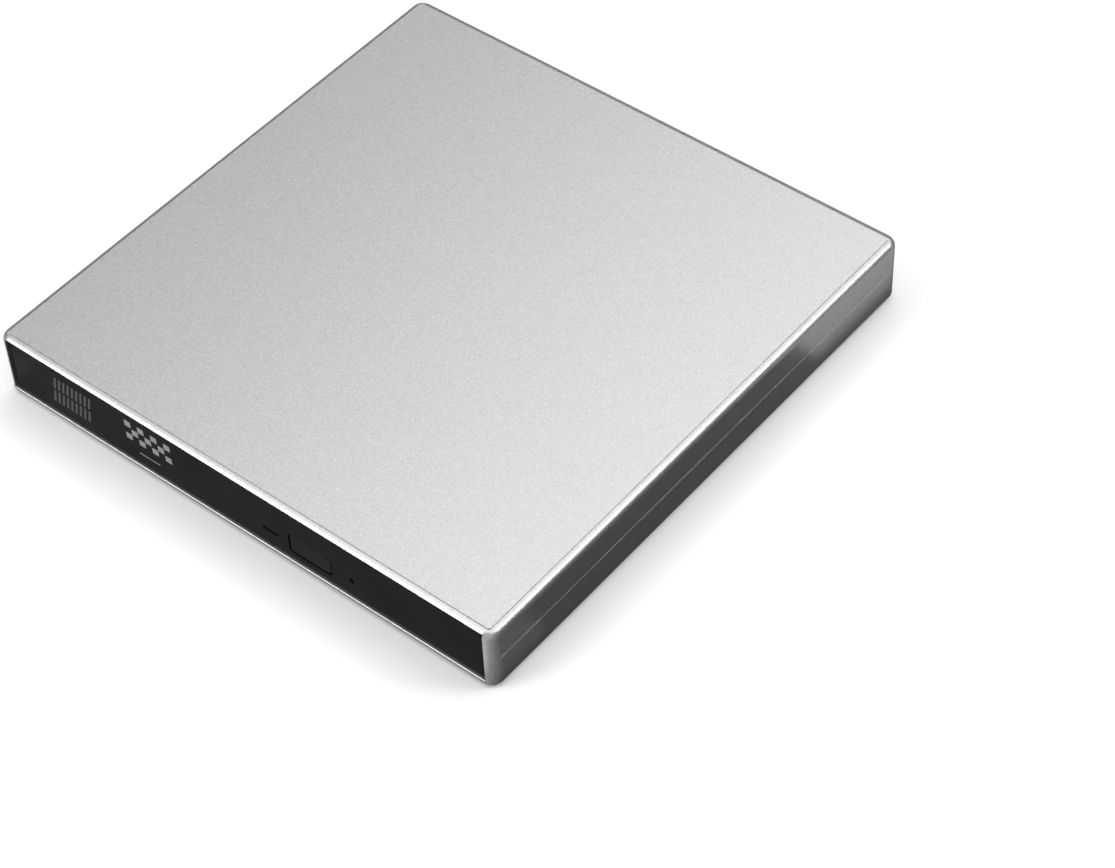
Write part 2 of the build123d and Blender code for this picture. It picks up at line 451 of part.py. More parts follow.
# --- Bridge board, sockets and connectors -------------------------------------------------
with BuildPart() as bridge_board:
    block(BOARD_X0, BOARD_X1, BOARD_Y0, BOARD_Y1, BOARD_Z, BOARD_TOP_Z)
    fillet(bridge_board.edges().filter_by(Axis.Z), BOARD_CORNER_R)
    for post_x, post_y in BOARD_POSTS:
        post(post_x, post_y, BOARD_HOLE_R, BOARD_Z, BOARD_TOP_Z, Mode.SUBTRACT)
save(bridge_board, "bridge_board")

with BuildPart() as board_screws:
    for post_x, post_y in BOARD_POSTS:
        post(post_x, post_y, BOARD_POST_HOLE_R, FLOOR_Z + 2 * GAP, BOARD_TOP_Z)
        post(post_x, post_y, BOARD_HEAD_R, BOARD_TOP_Z, BOARD_TOP_Z + BOARD_HEAD_H)
save(board_screws, "board_screws")

with BuildPart() as bridge_chip:
    block(*CHIP_BOX, BOARD_TOP_Z, BOARD_TOP_Z + CHIP_H)
    chamfer(bridge_chip.edges().group_by(Axis.Z)[-1], CHIP_CHAMFER)
save(bridge_chip, "bridge_chip")

with BuildPart() as clock_crystal:
    with BuildSketch(Plane.XY.offset(BOARD_TOP_Z)):
        with Locations((CRYSTAL_X, CRYSTAL_Y)):
            SlotOverall(CRYSTAL_L, CRYSTAL_W)
    extrude(amount=CRYSTAL_H)
    fillet(clock_crystal.edges().group_by(Axis.Z)[-1], 0.4)
save(clock_crystal, "clock_crystal")

with BuildPart() as filter_capacitors:
    for cap_x in CAPACITORS_X:
        post(cap_x, CAPACITOR_Y, CAPACITOR_R, BOARD_TOP_Z, BOARD_TOP_Z + CAPACITOR_H)
    fillet(filter_capacitors.edges().group_by(Axis.Z)[-1], 0.3)
save(filter_capacitors, "filter_capacitors")

with BuildPart() as usb_socket_shell:
    usb_x0, usb_x1 = USB_X - USB_W / 2, USB_X + USB_W / 2
    block(usb_x0, usb_x1, USB_FRONT_Y - USB_L, USB_FRONT_Y, BOARD_TOP_Z, BOARD_TOP_Z + USB_H)
    fillet(usb_socket_shell.edges().filter_by(Axis.Y), USB_EDGE_R)
    block(
        usb_x0 + USB_SHELL_T,
        usb_x1 - USB_SHELL_T,
        USB_FRONT_Y - USB_L + USB_SHELL_T,
        USB_FRONT_Y + 1.0,
        BOARD_TOP_Z + USB_SHELL_T,
        BOARD_TOP_Z + USB_H - USB_SHELL_T,
        Mode.SUBTRACT,
    )
save(usb_socket_shell, "usb_socket_shell")

with BuildPart() as usb_socket_insulator:
    fit = USB_SHELL_T + 0.02
    face_y = USB_FRONT_Y - 0.3
    block(
        usb_x0 + fit,
        usb_x1 - fit,
        USB_FRONT_Y - USB_L + fit,
        face_y,
        BOARD_TOP_Z + fit,
        BOARD_TOP_Z + USB_H - fit,
    )
    # The mouth has its two upper corners cut at 45 degrees, round a central tongue
    with BuildSketch(Plane(origin=(USB_X, face_y, USB_MID_Z), x_dir=(-1, 0, 0), z_dir=(0, 1, 0))) as mouth:
        Rectangle(USB_CAVITY_W, USB_CAVITY_H)
        chamfer(mouth.vertices().group_by(Axis.Z)[-1], USB_CORNER_CUT)
        Rectangle(USB_TONGUE_W, USB_TONGUE_H, mode=Mode.SUBTRACT)
    extrude(amount=-USB_CAVITY_L, mode=Mode.SUBTRACT)
    with BuildSketch(Plane(origin=(USB_X, face_y, USB_MID_Z), x_dir=(-1, 0, 0), z_dir=(0, 1, 0))):
        Rectangle(USB_TONGUE_W, USB_TONGUE_H)
    extrude(amount=-USB_TONGUE_RECESS, mode=Mode.SUBTRACT)
save(usb_socket_insulator, "usb_socket_insulator")

with BuildPart() as usb_contacts:
    for contact_x in (USB_X - CONTACT_X, USB_X + CONTACT_X):
        for contact_z in (USB_MID_Z - USB_TONGUE_H / 2 - CONTACT_T, USB_MID_Z + USB_TONGUE_H / 2):
            x0, x1 = contact_x - CONTACT_W / 2, contact_x + CONTACT_W / 2
            y0, y1 = face_y - USB_CAVITY_L, face_y - USB_TONGUE_RECESS - 0.6
            block(x0, x1, y0, y1, contact_z, contact_z + CONTACT_T)
save(usb_contacts, "usb_contacts")

JACK_NOSE_Y = REAR_Y - 0.3
JACK_BODY_Y1 = REAR_Y - WALL - 0.2
with BuildPart() as dc_jack_body:
    block(
        JACK_X - JACK_W / 2,
        JACK_X + JACK_W / 2,
        JACK_BODY_Y1 - JACK_BODY_L,
        JACK_BODY_Y1,
        BOARD_TOP_Z,
        BOARD_TOP_Z + JACK_H,
    )
    fillet(dc_jack_body.edges().filter_by(Axis.Y).group_by(Axis.Z)[-1], 1.5)
    rear_round(JACK_X, JACK_Z, JACK_NOSE_R, JACK_BODY_Y1 - 0.5, JACK_NOSE_Y)
    rear_round(JACK_X, JACK_Z, JACK_BORE_R, JACK_NOSE_Y - JACK_MOUTH_L, REAR_Y, Mode.SUBTRACT)
    cavity_y0, cavity_y1 = JACK_NOSE_Y - JACK_BORE_DEPTH, JACK_NOSE_Y - JACK_MOUTH_L
    rear_round(JACK_X, JACK_Z, JACK_CAVITY_R, cavity_y0, cavity_y1, Mode.SUBTRACT)
save(dc_jack_body, "dc_jack_body")

with BuildPart() as dc_jack_pin:
    rear_round(JACK_X, JACK_Z, JACK_PIN_R, JACK_NOSE_Y - JACK_BORE_DEPTH, JACK_NOSE_Y - JACK_PIN_RECESS)
    fillet(dc_jack_pin.edges().group_by(Axis.Y)[-1], 0.4)
save(dc_jack_pin, "dc_jack_pin")

# The housing's rear connector, and the bridge board's plug whose tongue enters it
with BuildPart() as chassis_connector:
    block(-PLUG_HALF_W, PLUG_HALF_W, PLUG_Y0, DRIVE_REAR_Y, PLUG_Z0, PLUG_TOP_Z)
    slot_x, slot_y1 = PLUG_SLOT_HALF_W, DRIVE_REAR_Y + 1.0
    block(-slot_x, slot_x, PLUG_SLOT_Y0, slot_y1, PLUG_SLOT_Z0, PLUG_SLOT_Z1, Mode.SUBTRACT)
save(chassis_connector, "chassis_connector")

with BuildPart() as board_connector:
    block(-PLUG_HALF_W, PLUG_HALF_W, BOARD_Y0 + 0.2, BOARD_PLUG_Y1, BOARD_TOP_Z, PLUG_TOP_Z)
    block(-BLADE_HALF_W, BLADE_HALF_W, BLADE_Y0, BOARD_Y0 + 0.2, BLADE_Z0, BLADE_Z1)
save(board_connector, "board_connector")

# The ribbon that lies on the pan's floor, from the rear connector forward
with BuildPart() as flex_cable:
    block(-FLEX_HALF_W, FLEX_HALF_W, FLEX_Y0, FLEX_Y1, PAN_FLOOR_Z, PAN_FLOOR_Z + FLEX_T)
    block(-FLEX_HALF_W, FLEX_HALF_W, PLUG_Y0, FLEX_Y1, PAN_FLOOR_Z, PLUG_Z0)
save(flex_cable, "flex_cable")

# --- Tray -------------------------------------------------------------------------------
TRAY_PLATE_Z = TRAY_TOP_Z - TRAY_PLATE_T
WELL_UNDER_Z = WELL_FLOOR_Z - WELL_FLOOR_T

with BuildPart() as tray_frame:
    block(-TRAY_PLATE_W / 2, TRAY_PLATE_W / 2, TRAY_FRONT_Y, TRAY_REAR_Y, TRAY_PLATE_Z, TRAY_TOP_Z)
    fillet(tray_frame.edges().filter_by(Axis.Z).group_by(Axis.Y)[-1], TRAY_CORNER_R)
    # The floor of the well and its finger notches, trimmed to the width between the rail guides
    with BuildSketch(Plane.XY.offset(WELL_UNDER_Z)):
        with Locations((0, HUB_Y)):
            Circle(WELL_R + WELL_RIM)
        with Locations((-NOTCH_X, NOTCH_Y), (NOTCH_X, NOTCH_Y)):
            Circle(NOTCH_R + WELL_RIM)
        with Locations((0, (TRAY_FRONT_Y + TRAY_REAR_Y) / 2)):
            Rectangle(2 * TRAY_SIDE_X, TRAY_REAR_Y - TRAY_FRONT_Y, mode=Mode.INTERSECT)
    extrude(amount=TRAY_PLATE_Z - WELL_UNDER_Z)
    for side in (-1, 1):
        x0, x1 = sorted((side * (TRAY_SIDE_X - SKIRT_T), side * TRAY_SIDE_X))
        block(x0, x1, GUIDE_FRONT_Y - 1.0, GUIDE_REAR_Y, SKIRT_Z, TRAY_PLATE_Z)
    block(-TRAY_SIDE_X, TRAY_SIDE_X, TRAY_FRONT_Y, TRAY_FRONT_Y + FRONT_WALL_T, FRONT_WALL_Z, TRAY_PLATE_Z)
    block(-REAR_WALL_X, REAR_WALL_X, TRAY_REAR_Y - REAR_WALL_T, TRAY_REAR_Y, REAR_WALL_Z, WELL_UNDER_Z + 0.5)
    # Bosses that the main board is screwed to
    for boss_x, boss_y in BOARD_BOSSES:
        post(boss_x, boss_y, BOARD_BOSS_R, MAIN_BOARD_TOP_Z, TRAY_PLATE_Z)
        post(boss_x, boss_y, TRAY_HOLE_R, MAIN_BOARD_TOP_Z, WELL_UNDER_Z, Mode.SUBTRACT)
    with BuildSketch(Plane.XY.offset(WELL_FLOOR_Z)):
        with Locations((0, HUB_Y)):
            Circle(WELL_R)
    extrude(amount=TRAY_TOP_Z, mode=Mode.SUBTRACT)
    # Finger notches beside the disc, at the front corners
    for side in (-1, 1):
        with BuildSketch(Plane.XY.offset(WELL_FLOOR_Z)):
            with Locations((side * NOTCH_X, NOTCH_Y)):
                Circle(NOTCH_R)
        extrude(amount=TRAY_TOP_Z, mode=Mode.SUBTRACT)
    # Window over the pickup mechanism
    window = (WINDOW_U0, WINDOW_U1, -WINDOW_V, WINDOW_V, WELL_UNDER_Z - 1.0, TRAY_TOP_Z)
    hub_block(*window, Mode.SUBTRACT, corner=WINDOW_R)
    hub_block(TAIL_U0, TAIL_U1, -TAIL_V, TAIL_V, WELL_UNDER_Z - 1.0, WELL_FLOOR_Z, Mode.SUBTRACT)
    # Grooves that the slide rails run in
    for side in (-1, 1):
        x0, x1 = sorted((side * (TRAY_SIDE_X - GROOVE_DEPTH), side * (TRAY_SIDE_X + 1.0)))
        block(x0, x1, TRAY_FRONT_Y + FRONT_WALL_T, TRAY_REAR_Y + 1.0, groove_z0, groove_z1, Mode.SUBTRACT)
    # The lock lever's post, and blind holes for the damper screws
    post(LOCK_PIVOT_X, LOCK_PIVOT_Y, LOCK_PIVOT_R, LOCK_Z, WELL_UNDER_Z)
    for ear_u, ear_v in EARS:
        hub_post(ear_u, ear_v, TRAY_HOLE_R, WELL_UNDER_Z - 1.0, WELL_UNDER_Z + 0.7, Mode.SUBTRACT)
    # Openings in the front wall behind the eject button and the emergency hole
    rear_round(PINHOLE_X, PINHOLE_Z, PINHOLE_R + 0.3, TRAY_FRONT_Y - 1.0, TRAY_FRONT_Y + 3.0, Mode.SUBTRACT)
    door_x0, door_x1, door_z0, door_z1 = BUTTON_DOORWAY
    door_y0, door_y1 = TRAY_FRONT_Y - 1.0, TRAY_FRONT_Y + FRONT_WALL_T + 1.0
    block(door_x0, door_x1, door_y0, door_y1, door_z0, door_z1, Mode.SUBTRACT)
save(tray_frame, "tray_frame")

BEZEL_HALF_W = OPENING_X - BEZEL_CLEARANCE
BEZEL_Z0, BEZEL_Z1 = FLOOR_Z + BEZEL_CLEARANCE, ROOF_Z - BEZEL_CLEARANCE


def front_sketch_plane(y):
    """A sketch plane at depth y whose local x and y are +X and +Z; it extrudes forward."""
    return Plane(origin=(0, y, 0), x_dir=(1, 0, 0), z_dir=(0, -1, 0))


def button_outline(growth):
    """The eject button's outline, squarer on its left than on its right."""
    with Locations((BUTTON_X, BUTTON_Z)):
        Rectangle(BUTTON_W + 2 * growth, BUTTON_H + 2 * growth)


with BuildPart() as front_bezel:
    block(-BEZEL_HALF_W, BEZEL_HALF_W, BEZEL_FRONT_Y, BEZEL_BACK_Y, BEZEL_Z0, BEZEL_Z1)
    fillet(front_bezel.edges().filter_by(Axis.Z).group_by(Axis.Y)[0], BEZEL_CORNER_R)
    fillet(front_bezel.faces().sort_by(Axis.Y)[0].edges(), BEZEL_EDGE_R)
    block(
        -BEZEL_HALF_W + BEZEL_RIM,
        BEZEL_HALF_W - BEZEL_RIM,
        BEZEL_FRONT_Y + BEZEL_SKIN,
        BEZEL_BACK_Y + 1.0,
        BEZEL_Z0 + BEZEL_RIM,
        BEZEL_Z1 - BEZEL_RIM,
        Mode.SUBTRACT,
    )
    # Four lugs that reach back to the tray's front wall
    for lug_x in BEZEL_LUGS_X:
        lug_x0, lug_x1 = lug_x - LUG_W / 2, lug_x + LUG_W / 2
        block(lug_x0, lug_x1, BEZEL_FRONT_Y + BEZEL_SKIN, TRAY_FRONT_Y, LUG_Z0, LUG_Z1)
    with BuildSketch(front_sketch_plane(BEZEL_BACK_Y)) as button_hole:
        button_outline(BUTTON_GAP)
        fillet(button_hole.vertices().group_by(Axis.X)[0], BUTTON_LEFT_R + BUTTON_HOLE_EXTRA_R)
        fillet(button_hole.vertices().group_by(Axis.X)[-1], BUTTON_RIGHT_R + BUTTON_HOLE_EXTRA_R)
    extrude(amount=2 * BEZEL_T, mode=Mode.SUBTRACT)
    with BuildSketch(front_sketch_plane(BEZEL_BACK_Y)):
        with Locations((LED_X, LED_Z)):
            SlotOverall(LED_W + 2 * LED_GAP, LED_H + 2 * LED_GAP)
        with Locations((PINHOLE_X, PINHOLE_Z)):
            Circle(PINHOLE_R)
    extrude(amount=2 * BEZEL_T, mode=Mode.SUBTRACT)
save(front_bezel, "front_bezel")

with BuildPart() as led_lens:
    with BuildSketch(front_sketch_plane(BEZEL_BACK_Y)):
        with Locations((LED_X, LED_Z)):
            SlotOverall(LED_W, LED_H)
    extrude(amount=BEZEL_T - LED_STANDS_BACK)
save(led_lens, "led_lens")

with BuildPart() as eject_button:
    with BuildSketch(front_sketch_plane(BEZEL_BACK_Y)) as cap:
        button_outline(0.0)
        fillet(cap.vertices().group_by(Axis.X)[0], BUTTON_LEFT_R)
        fillet(cap.vertices().group_by(Axis.X)[-1], BUTTON_RIGHT_R)
    extrude(amount=BEZEL_T - BUTTON_STANDS_BACK)
    fillet(eject_button.faces().sort_by(Axis.Y)[0].edges(), BUTTON_EDGE_R)
    block(BUTTON_X - STEM_W / 2, BUTTON_X + STEM_W / 2, BEZEL_BACK_Y - 0.5, STEM_Y, STEM_Z0, STEM_Z1)
save(eject_button, "eject_button")

with BuildPart() as button_switch:
    half = SWITCH_W / 2
    block(BUTTON_X - half, BUTTON_X + half, SWITCH_Y0, SWITCH_Y1, MAIN_BOARD_TOP_Z, SWITCH_TOP_Z)
    half = SWITCH_PLUNGER_W / 2
    plunger_y = STEM_Y + SWITCH_REACH
    block(BUTTON_X - half, BUTTON_X + half, plunger_y, SWITCH_Y0, SWITCH_PLUNGER_Z0, SWITCH_PLUNGER_Z1)
save(button_switch, "button_switch")

MAIN_BOARD_Z = MAIN_BOARD_TOP_Z - MAIN_BOARD_T
with BuildPart() as main_board:
    board_z = (MAIN_BOARD_Z, MAIN_BOARD_TOP_Z)
    block(MAIN_BOARD_X0, MAIN_BOARD_X1, MAIN_BOARD_Y0, MAIN_BOARD_STEP_Y, *board_z)
    block(MAIN_BOARD_X0, MAIN_BOARD_STEP_X, MAIN_BOARD_STEP_Y, MAIN_BOARD_Y1, *board_z)
    for boss_x, boss_y in BOARD_BOSSES:
        post(boss_x, boss_y, TRAY_HOLE_R, 0.0, MAIN_BOARD_TOP_Z, Mode.SUBTRACT)
save(main_board, "main_board")

with BuildPart() as main_chips:
    for chip_x, chip_y, chip_w, chip_h in MAIN_CHIPS:
        half = chip_w / 2
        block(
            chip_x - half,
            chip_x + half,
            chip_y - half,
            chip_y + half,
            MAIN_BOARD_TOP_Z,
            MAIN_BOARD_TOP_Z + chip_h,
        )
    chamfer(main_chips.edges().group_by(Axis.Z)[-1], CHIP_CHAMFER)
save(main_chips, "main_chips")

with BuildPart() as tray_screws:
    for boss_x, boss_y in BOARD_BOSSES:
        post(boss_x, boss_y, TRAY_SCREW_R, MAIN_BOARD_Z, BOARD_SCREW_END_Z)
        post(boss_x, boss_y, BOARD_SCREW_HEAD_R, BOARD_SCREW_HEAD_Z, MAIN_BOARD_Z)
    for ear_u, ear_v in EARS:
        hub_post(ear_u, ear_v, TRAY_SCREW_R, DAMPER_Z, WELL_UNDER_Z + 0.6)
        hub_post(ear_u, ear_v, EAR_SCREW_HEAD_R, DAMPER_Z - EAR_SCREW_HEAD_H, DAMPER_Z)
save(tray_screws, "tray_screws")

# --- Pickup mechanism on the tray -----------------------------------------------------------
with BuildPart() as mechanism_base:
    hub_block(BASE_U0, BASE_U1, BASE_V0, BASE_V1, BASE_Z, BASE_TOP_Z, corner=BASE_CORNER_R)
    inner = (BASE_U0 + BASE_WALL, BASE_U1 - BASE_WALL, BASE_V0 + BASE_WALL, BASE_V1 - BASE_WALL)
    hub_block(*inner, BASE_Z, BASE_PLATE_Z, Mode.SUBTRACT, corner=BASE_INNER_R)
    for ear_u, ear_v in EARS:
        hub_post(ear_u, ear_v, EAR_R, BASE_PLATE_Z, BASE_TOP_Z)
        hub_post(ear_u, ear_v, DAMPER_R, BASE_PLATE_Z, BASE_TOP_Z, Mode.SUBTRACT)
    hub_post(0, 0, ROTOR_R + ROTOR_GAP, BASE_PLATE_Z, BASE_TOP_Z, Mode.SUBTRACT)
    lens_slot = (LENS_SLOT_U0, LENS_SLOT_U1, -LENS_SLOT_V, LENS_SLOT_V)
    hub_block(*lens_slot, BASE_PLATE_Z, BASE_TOP_Z, Mode.SUBTRACT)
    # Brackets behind the motor that carry the inner ends of the rods
    for rod_v in ROD_V:
        bracket_v0, bracket_v1 = rod_v - ROD_BRACKET_HALF_W, rod_v + ROD_BRACKET_HALF_W
        hub_block(ROD_U0, ROD_U0 + ROD_BRACKET_L, bracket_v0, bracket_v1, ROD_BRACKET_Z, BASE_PLATE_Z)
        hub_rod(ROD_U0, ROD_U1, rod_v, ROD_Z, ROD_R, Mode.SUBTRACT)
    # Bearing for the lead screw's outer journal
    hub_rod(SCREW_U1 - 0.2, SCREW_U1 + JOURNAL_L, SCREW_V, SCREW_Z, JOURNAL_R + RUNNING_GAP, Mode.SUBTRACT)
save(mechanism_base, "mechanism_base")

with BuildPart() as mechanism_cover:
    cover_z = (BASE_TOP_Z, BASE_TOP_Z + COVER_T)
    hub_block(BASE_U0 + COVER_INSET, COVER_U1, -COVER_V, COVER_V, *cover_z, corner=COVER_CORNER_R)
    hub_post(0, 0, TURNTABLE_R + 0.8, *cover_z, Mode.SUBTRACT)
    hub_block(COVER_SLOT_U0, COVER_SLOT_U1, -COVER_SLOT_V, COVER_SLOT_V, *cover_z, Mode.SUBTRACT)
save(mechanism_cover, "mechanism_cover")

with BuildPart() as rubber_dampers:
    for ear_u, ear_v in EARS:
        hub_post(ear_u, ear_v, DAMPER_R, DAMPER_Z, WELL_UNDER_Z)
        hub_post(ear_u, ear_v, DAMPER_BORE_R, DAMPER_Z, WELL_UNDER_Z, Mode.SUBTRACT)
save(rubber_dampers, "rubber_dampers")

ROD_NAMES = ("left_guide_rod", "right_guide_rod")
for rod_v, rod_name in zip(ROD_V, ROD_NAMES):
    with BuildPart() as guide_rod:
        hub_rod(ROD_U0, ROD_U1, rod_v, ROD_Z, ROD_R)
    save(guide_rod, rod_name)

with BuildPart() as spindle_motor:
    plate = (BASE_U0 + 0.5, MOTOR_PLATE_U1, MOTOR_PLATE_V0, MOTOR_PLATE_V1)
    hub_block(*plate, BASE_Z - MOTOR_PLATE_T, BASE_Z, corner=BASE_INNER_R)
    hub_post(0, 0, STATOR_R, BASE_Z, STATOR_TOP_Z)
    hub_post(0, 0, SHAFT_R + RUNNING_GAP, BASE_Z - 0.3, STATOR_TOP_Z, Mode.SUBTRACT)
save(spindle_motor, "spindle_motor")

with BuildPart() as spindle_hub:
    hub_post(0, 0, ROTOR_R, ROTOR_Z, TURNTABLE_Z)
    hub_post(0, 0, ROTOR_R - ROTOR_WALL, ROTOR_Z, ROTOR_CEILING_Z, Mode.SUBTRACT)
    hub_post(0, 0, SHAFT_R, BASE_Z - 0.2, ROTOR_CEILING_Z)
    hub_post(0, 0, TURNTABLE_R, TURNTABLE_Z, TURNTABLE_TOP_Z)
    hub_post(0, 0, HUB_BOSS_R, TURNTABLE_TOP_Z, HUB_TOP_Z)
    fillet(spindle_hub.edges().group_by(Axis.Z)[-1], HUB_EDGE_R)
    for index in range(CLAW_COUNT):
        turned = hub_plane(CLAW_Z - GAP).rotated((0, 0, index * 360.0 / CLAW_COUNT))
        slot_inner, slot_outer = CLAW_INNER_R - CLAW_SLOT_INNER, HUB_BOSS_R + CLAW_SLOT_OUTER
        with BuildSketch(turned):
            with Locations(((slot_inner + slot_outer) / 2, 0)):
                Rectangle(slot_outer - slot_inner, CLAW_W + CLAW_SLOT_GAP)
        extrude(amount=CLAW_SLOT_H, mode=Mode.SUBTRACT)
save(spindle_hub, "spindle_hub")

with BuildPart() as turntable_ring:
    hub_post(0, 0, TURNTABLE_R, TURNTABLE_TOP_Z, TURNTABLE_TOP_Z + RING_T)
    hub_post(0, 0, RING_INNER_R, TURNTABLE_TOP_Z, TURNTABLE_TOP_Z + RING_T, Mode.SUBTRACT)
save(turntable_ring, "turntable_ring")

for index in range(CLAW_COUNT):
    turned = hub_plane(CLAW_Z).rotated((0, 0, index * 360.0 / CLAW_COUNT))
    with BuildPart() as hub_claw:
        with BuildSketch(turned):
            with Locations(((CLAW_INNER_R + CLAW_OUTER_R) / 2, 0)):
                Rectangle(CLAW_OUTER_R - CLAW_INNER_R, CLAW_W)
        extrude(amount=CLAW_H)
        chamfer(hub_claw.edges().group_by(Axis.Z)[-1], 0.2)
    save(hub_claw, f"hub_claw_{index + 1}")

# --- Pickup sled, its lens and its drive ----------------------------------------------------
SLED_U0, SLED_U1 = LENS_HOME_U - SLED_BACK, LENS_HOME_U + SLED_FRONT
with BuildPart() as pickup_sled:
    hub_block(SLED_U0, SLED_U1, SLED_V0, SLED_V1, SLED_Z, SLED_TOP_Z, corner=SLED_CORNER_R)
    turret_u = (SLED_U0 + TURRET_BACK, SLED_U1 - TURRET_FRONT)
    hub_block(*turret_u, -TURRET_V, TURRET_V, SLED_TOP_Z, TURRET_TOP_Z, corner=TURRET_CORNER_R)
    # Bearing arm on one rod, and a bridge over the lead screw to a fork on the other
    hub_block(SLED_U0, SLED_U1, ARM_V0, SLED_V0, ARM_Z, SLED_TOP_Z)
    hub_block(SLED_U1 - BRIDGE_L, SLED_U1, SLED_V1, BRIDGE_V1, BRIDGE_Z, BRIDGE_TOP_Z)
    hub_block(SLED_U1 - BRIDGE_L, SLED_U1, FORK_V0, BRIDGE_V1, FORK_Z, BRIDGE_TOP_Z)
    for rod_v in ROD_V:
        hub_rod(SLED_U0 - 1.0, SLED_U1 + 1.0, rod_v, ROD_Z, ROD_R + RUNNING_GAP, Mode.SUBTRACT)
save(pickup_sled, "pickup_sled")

with BuildPart() as sled_nut:
    hub_block(SLED_U1 - NUT_L, SLED_U1 - TURRET_FRONT, NUT_V0, NUT_V1, NUT_Z, BRIDGE_Z)
    hub_rod(SLED_U0, SLED_U1 + 1.0, SCREW_V, SCREW_Z, SCREW_R + 2 * RUNNING_GAP, Mode.SUBTRACT)
save(sled_nut, "sled_nut")

with BuildPart() as laser_diode:
    hub_rod(SLED_U1, SLED_U1 + LASER_L, LASER_V, LASER_Z, LASER_R)
save(laser_diode, "laser_diode")

with BuildPart() as sled_top_plate:
    plate_u, plate_z = (SLED_U0 + PLATE_BACK, SLED_U1 - PLATE_FRONT), (TURRET_TOP_Z, TURRET_TOP_Z + PLATE_T)
    hub_block(*plate_u, -PLATE_V, PLATE_V, *plate_z, corner=TURRET_CORNER_R)
    hub_post(LENS_HOME_U, 0, PLATE_HOLE_R, *plate_z, Mode.SUBTRACT)
    magnet_u = (SLED_U0 + MAGNET_U0, SLED_U0 + MAGNET_U1)
    hub_block(*magnet_u, -MAGNET_V, MAGNET_V, TURRET_TOP_Z, TURRET_TOP_Z + MAGNET_H)
save(sled_top_plate, "sled_top_plate")

with BuildPart() as lens_holder:
    half = HOLDER_HALF_W
    holder_z = (HOLDER_Z, HOLDER_Z + HOLDER_T)
    hub_block(LENS_HOME_U - half, LENS_HOME_U + half, -half, half, *holder_z, corner=SLED_CORNER_R)
    hub_post(LENS_HOME_U, 0, LENS_R, HOLDER_Z, HOLDER_Z + HOLDER_T, Mode.SUBTRACT)
save(lens_holder, "lens_holder")

with BuildPart() as objective_lens:
    hub_post(LENS_HOME_U, 0, LENS_R, HOLDER_Z + LENS_BASE, HOLDER_Z + LENS_CROWN)
    fillet(objective_lens.edges().group_by(Axis.Z)[-1], LENS_EDGE_R)
save(objective_lens, "objective_lens")

with BuildPart() as stepper_motor:
    hub_rod(SCREW_U0 - STEPPER_BACK, SCREW_U0 - STEPPER_FRONT, SCREW_V, SCREW_Z, STEPPER_R)
    # Saddle that hangs the motor from the base plate
    saddle_u = (SCREW_U0 - SADDLE_BACK, SCREW_U0 - SADDLE_FRONT)
    saddle_v = (SCREW_V - SADDLE_HALF_W, SCREW_V + SADDLE_HALF_W)
    hub_block(*saddle_u, *saddle_v, SADDLE_Z, BASE_PLATE_Z)
    hub_rod(SCREW_U0 - 3.0, SCREW_U0, SCREW_V, SCREW_Z, JOURNAL_R + RUNNING_GAP, Mode.SUBTRACT)
save(stepper_motor, "stepper_motor")

with BuildPart() as lead_screw:
    thread_end = SCREW_U1 - JOURNAL_GAP
    hub_rod(SCREW_U0, thread_end, SCREW_V, SCREW_Z, SCREW_R)
    hub_rod(SCREW_U0 - MOTOR_JOURNAL_L, SCREW_U0, SCREW_V, SCREW_Z, JOURNAL_R)
    hub_rod(thread_end, SCREW_U1 + END_JOURNAL_L, SCREW_V, SCREW_Z, JOURNAL_R)
save(lead_screw, "lead_screw")

# --- Tray lock --------------------------------------------------------------------------------
with BuildPart() as lock_solenoid:
    block(*SOLENOID, LOCK_Z, WELL_UNDER_Z)
save(lock_solenoid, "lock_solenoid")

with BuildPart() as lock_lever:
    post(LOCK_PIVOT_X, LOCK_PIVOT_Y, LOCK_HUB_R, LOCK_Z, LOCK_TOP_Z)
    block(LOCK_ARM_X0, LOCK_ARM_X1, LOCK_ARM_Y, LOCK_PIVOT_Y, LOCK_Z, LOCK_TOP_Z)
    block(LOCK_ARM_X0, LOCK_HOOK_X1, LOCK_HOOK_Y0, LOCK_HOOK_Y1, LOCK_Z, LOCK_TOP_Z)
    post(LOCK_PIVOT_X, LOCK_PIVOT_Y, LOCK_PIVOT_R + RUNNING_GAP, LOCK_Z, LOCK_TOP_Z, Mode.SUBTRACT)
save(lock_lever, "lock_lever")

# --- Ejector at the rear of the tray ----------------------------------------------------------
with BuildPart() as ejector_barrel:
    rear_round(EJECTOR_X, EJECTOR_Z, BARREL_R, BARREL_Y0, BARREL_Y1)
    rear_round(EJECTOR_X, EJECTOR_Z, BARREL_BORE_R, BARREL_Y0 + BARREL_BACK_T, BARREL_Y1, Mode.SUBTRACT)
    rib_x = (EJECTOR_X - BARREL_RIB_T / 2, EJECTOR_X + BARREL_RIB_T / 2)
    rib_y = (BARREL_Y0 + BARREL_RIB_INSET, BARREL_Y1 - BARREL_RIB_INSET)
    block(*rib_x, *rib_y, EJECTOR_Z + BARREL_RIB_UP, WELL_UNDER_Z)
save(ejector_barrel, "ejector_barrel")

with BuildPart() as ejector_plunger:
    rear_round(EJECTOR_X, EJECTOR_Z, EJECTOR_R, PLUNGER_Y0, PLUNGER_Y1)
save(ejector_plunger, "ejector_plunger")
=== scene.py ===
import json
import math
import random

import bmesh
import bpy
from mathutils import Matrix, Vector


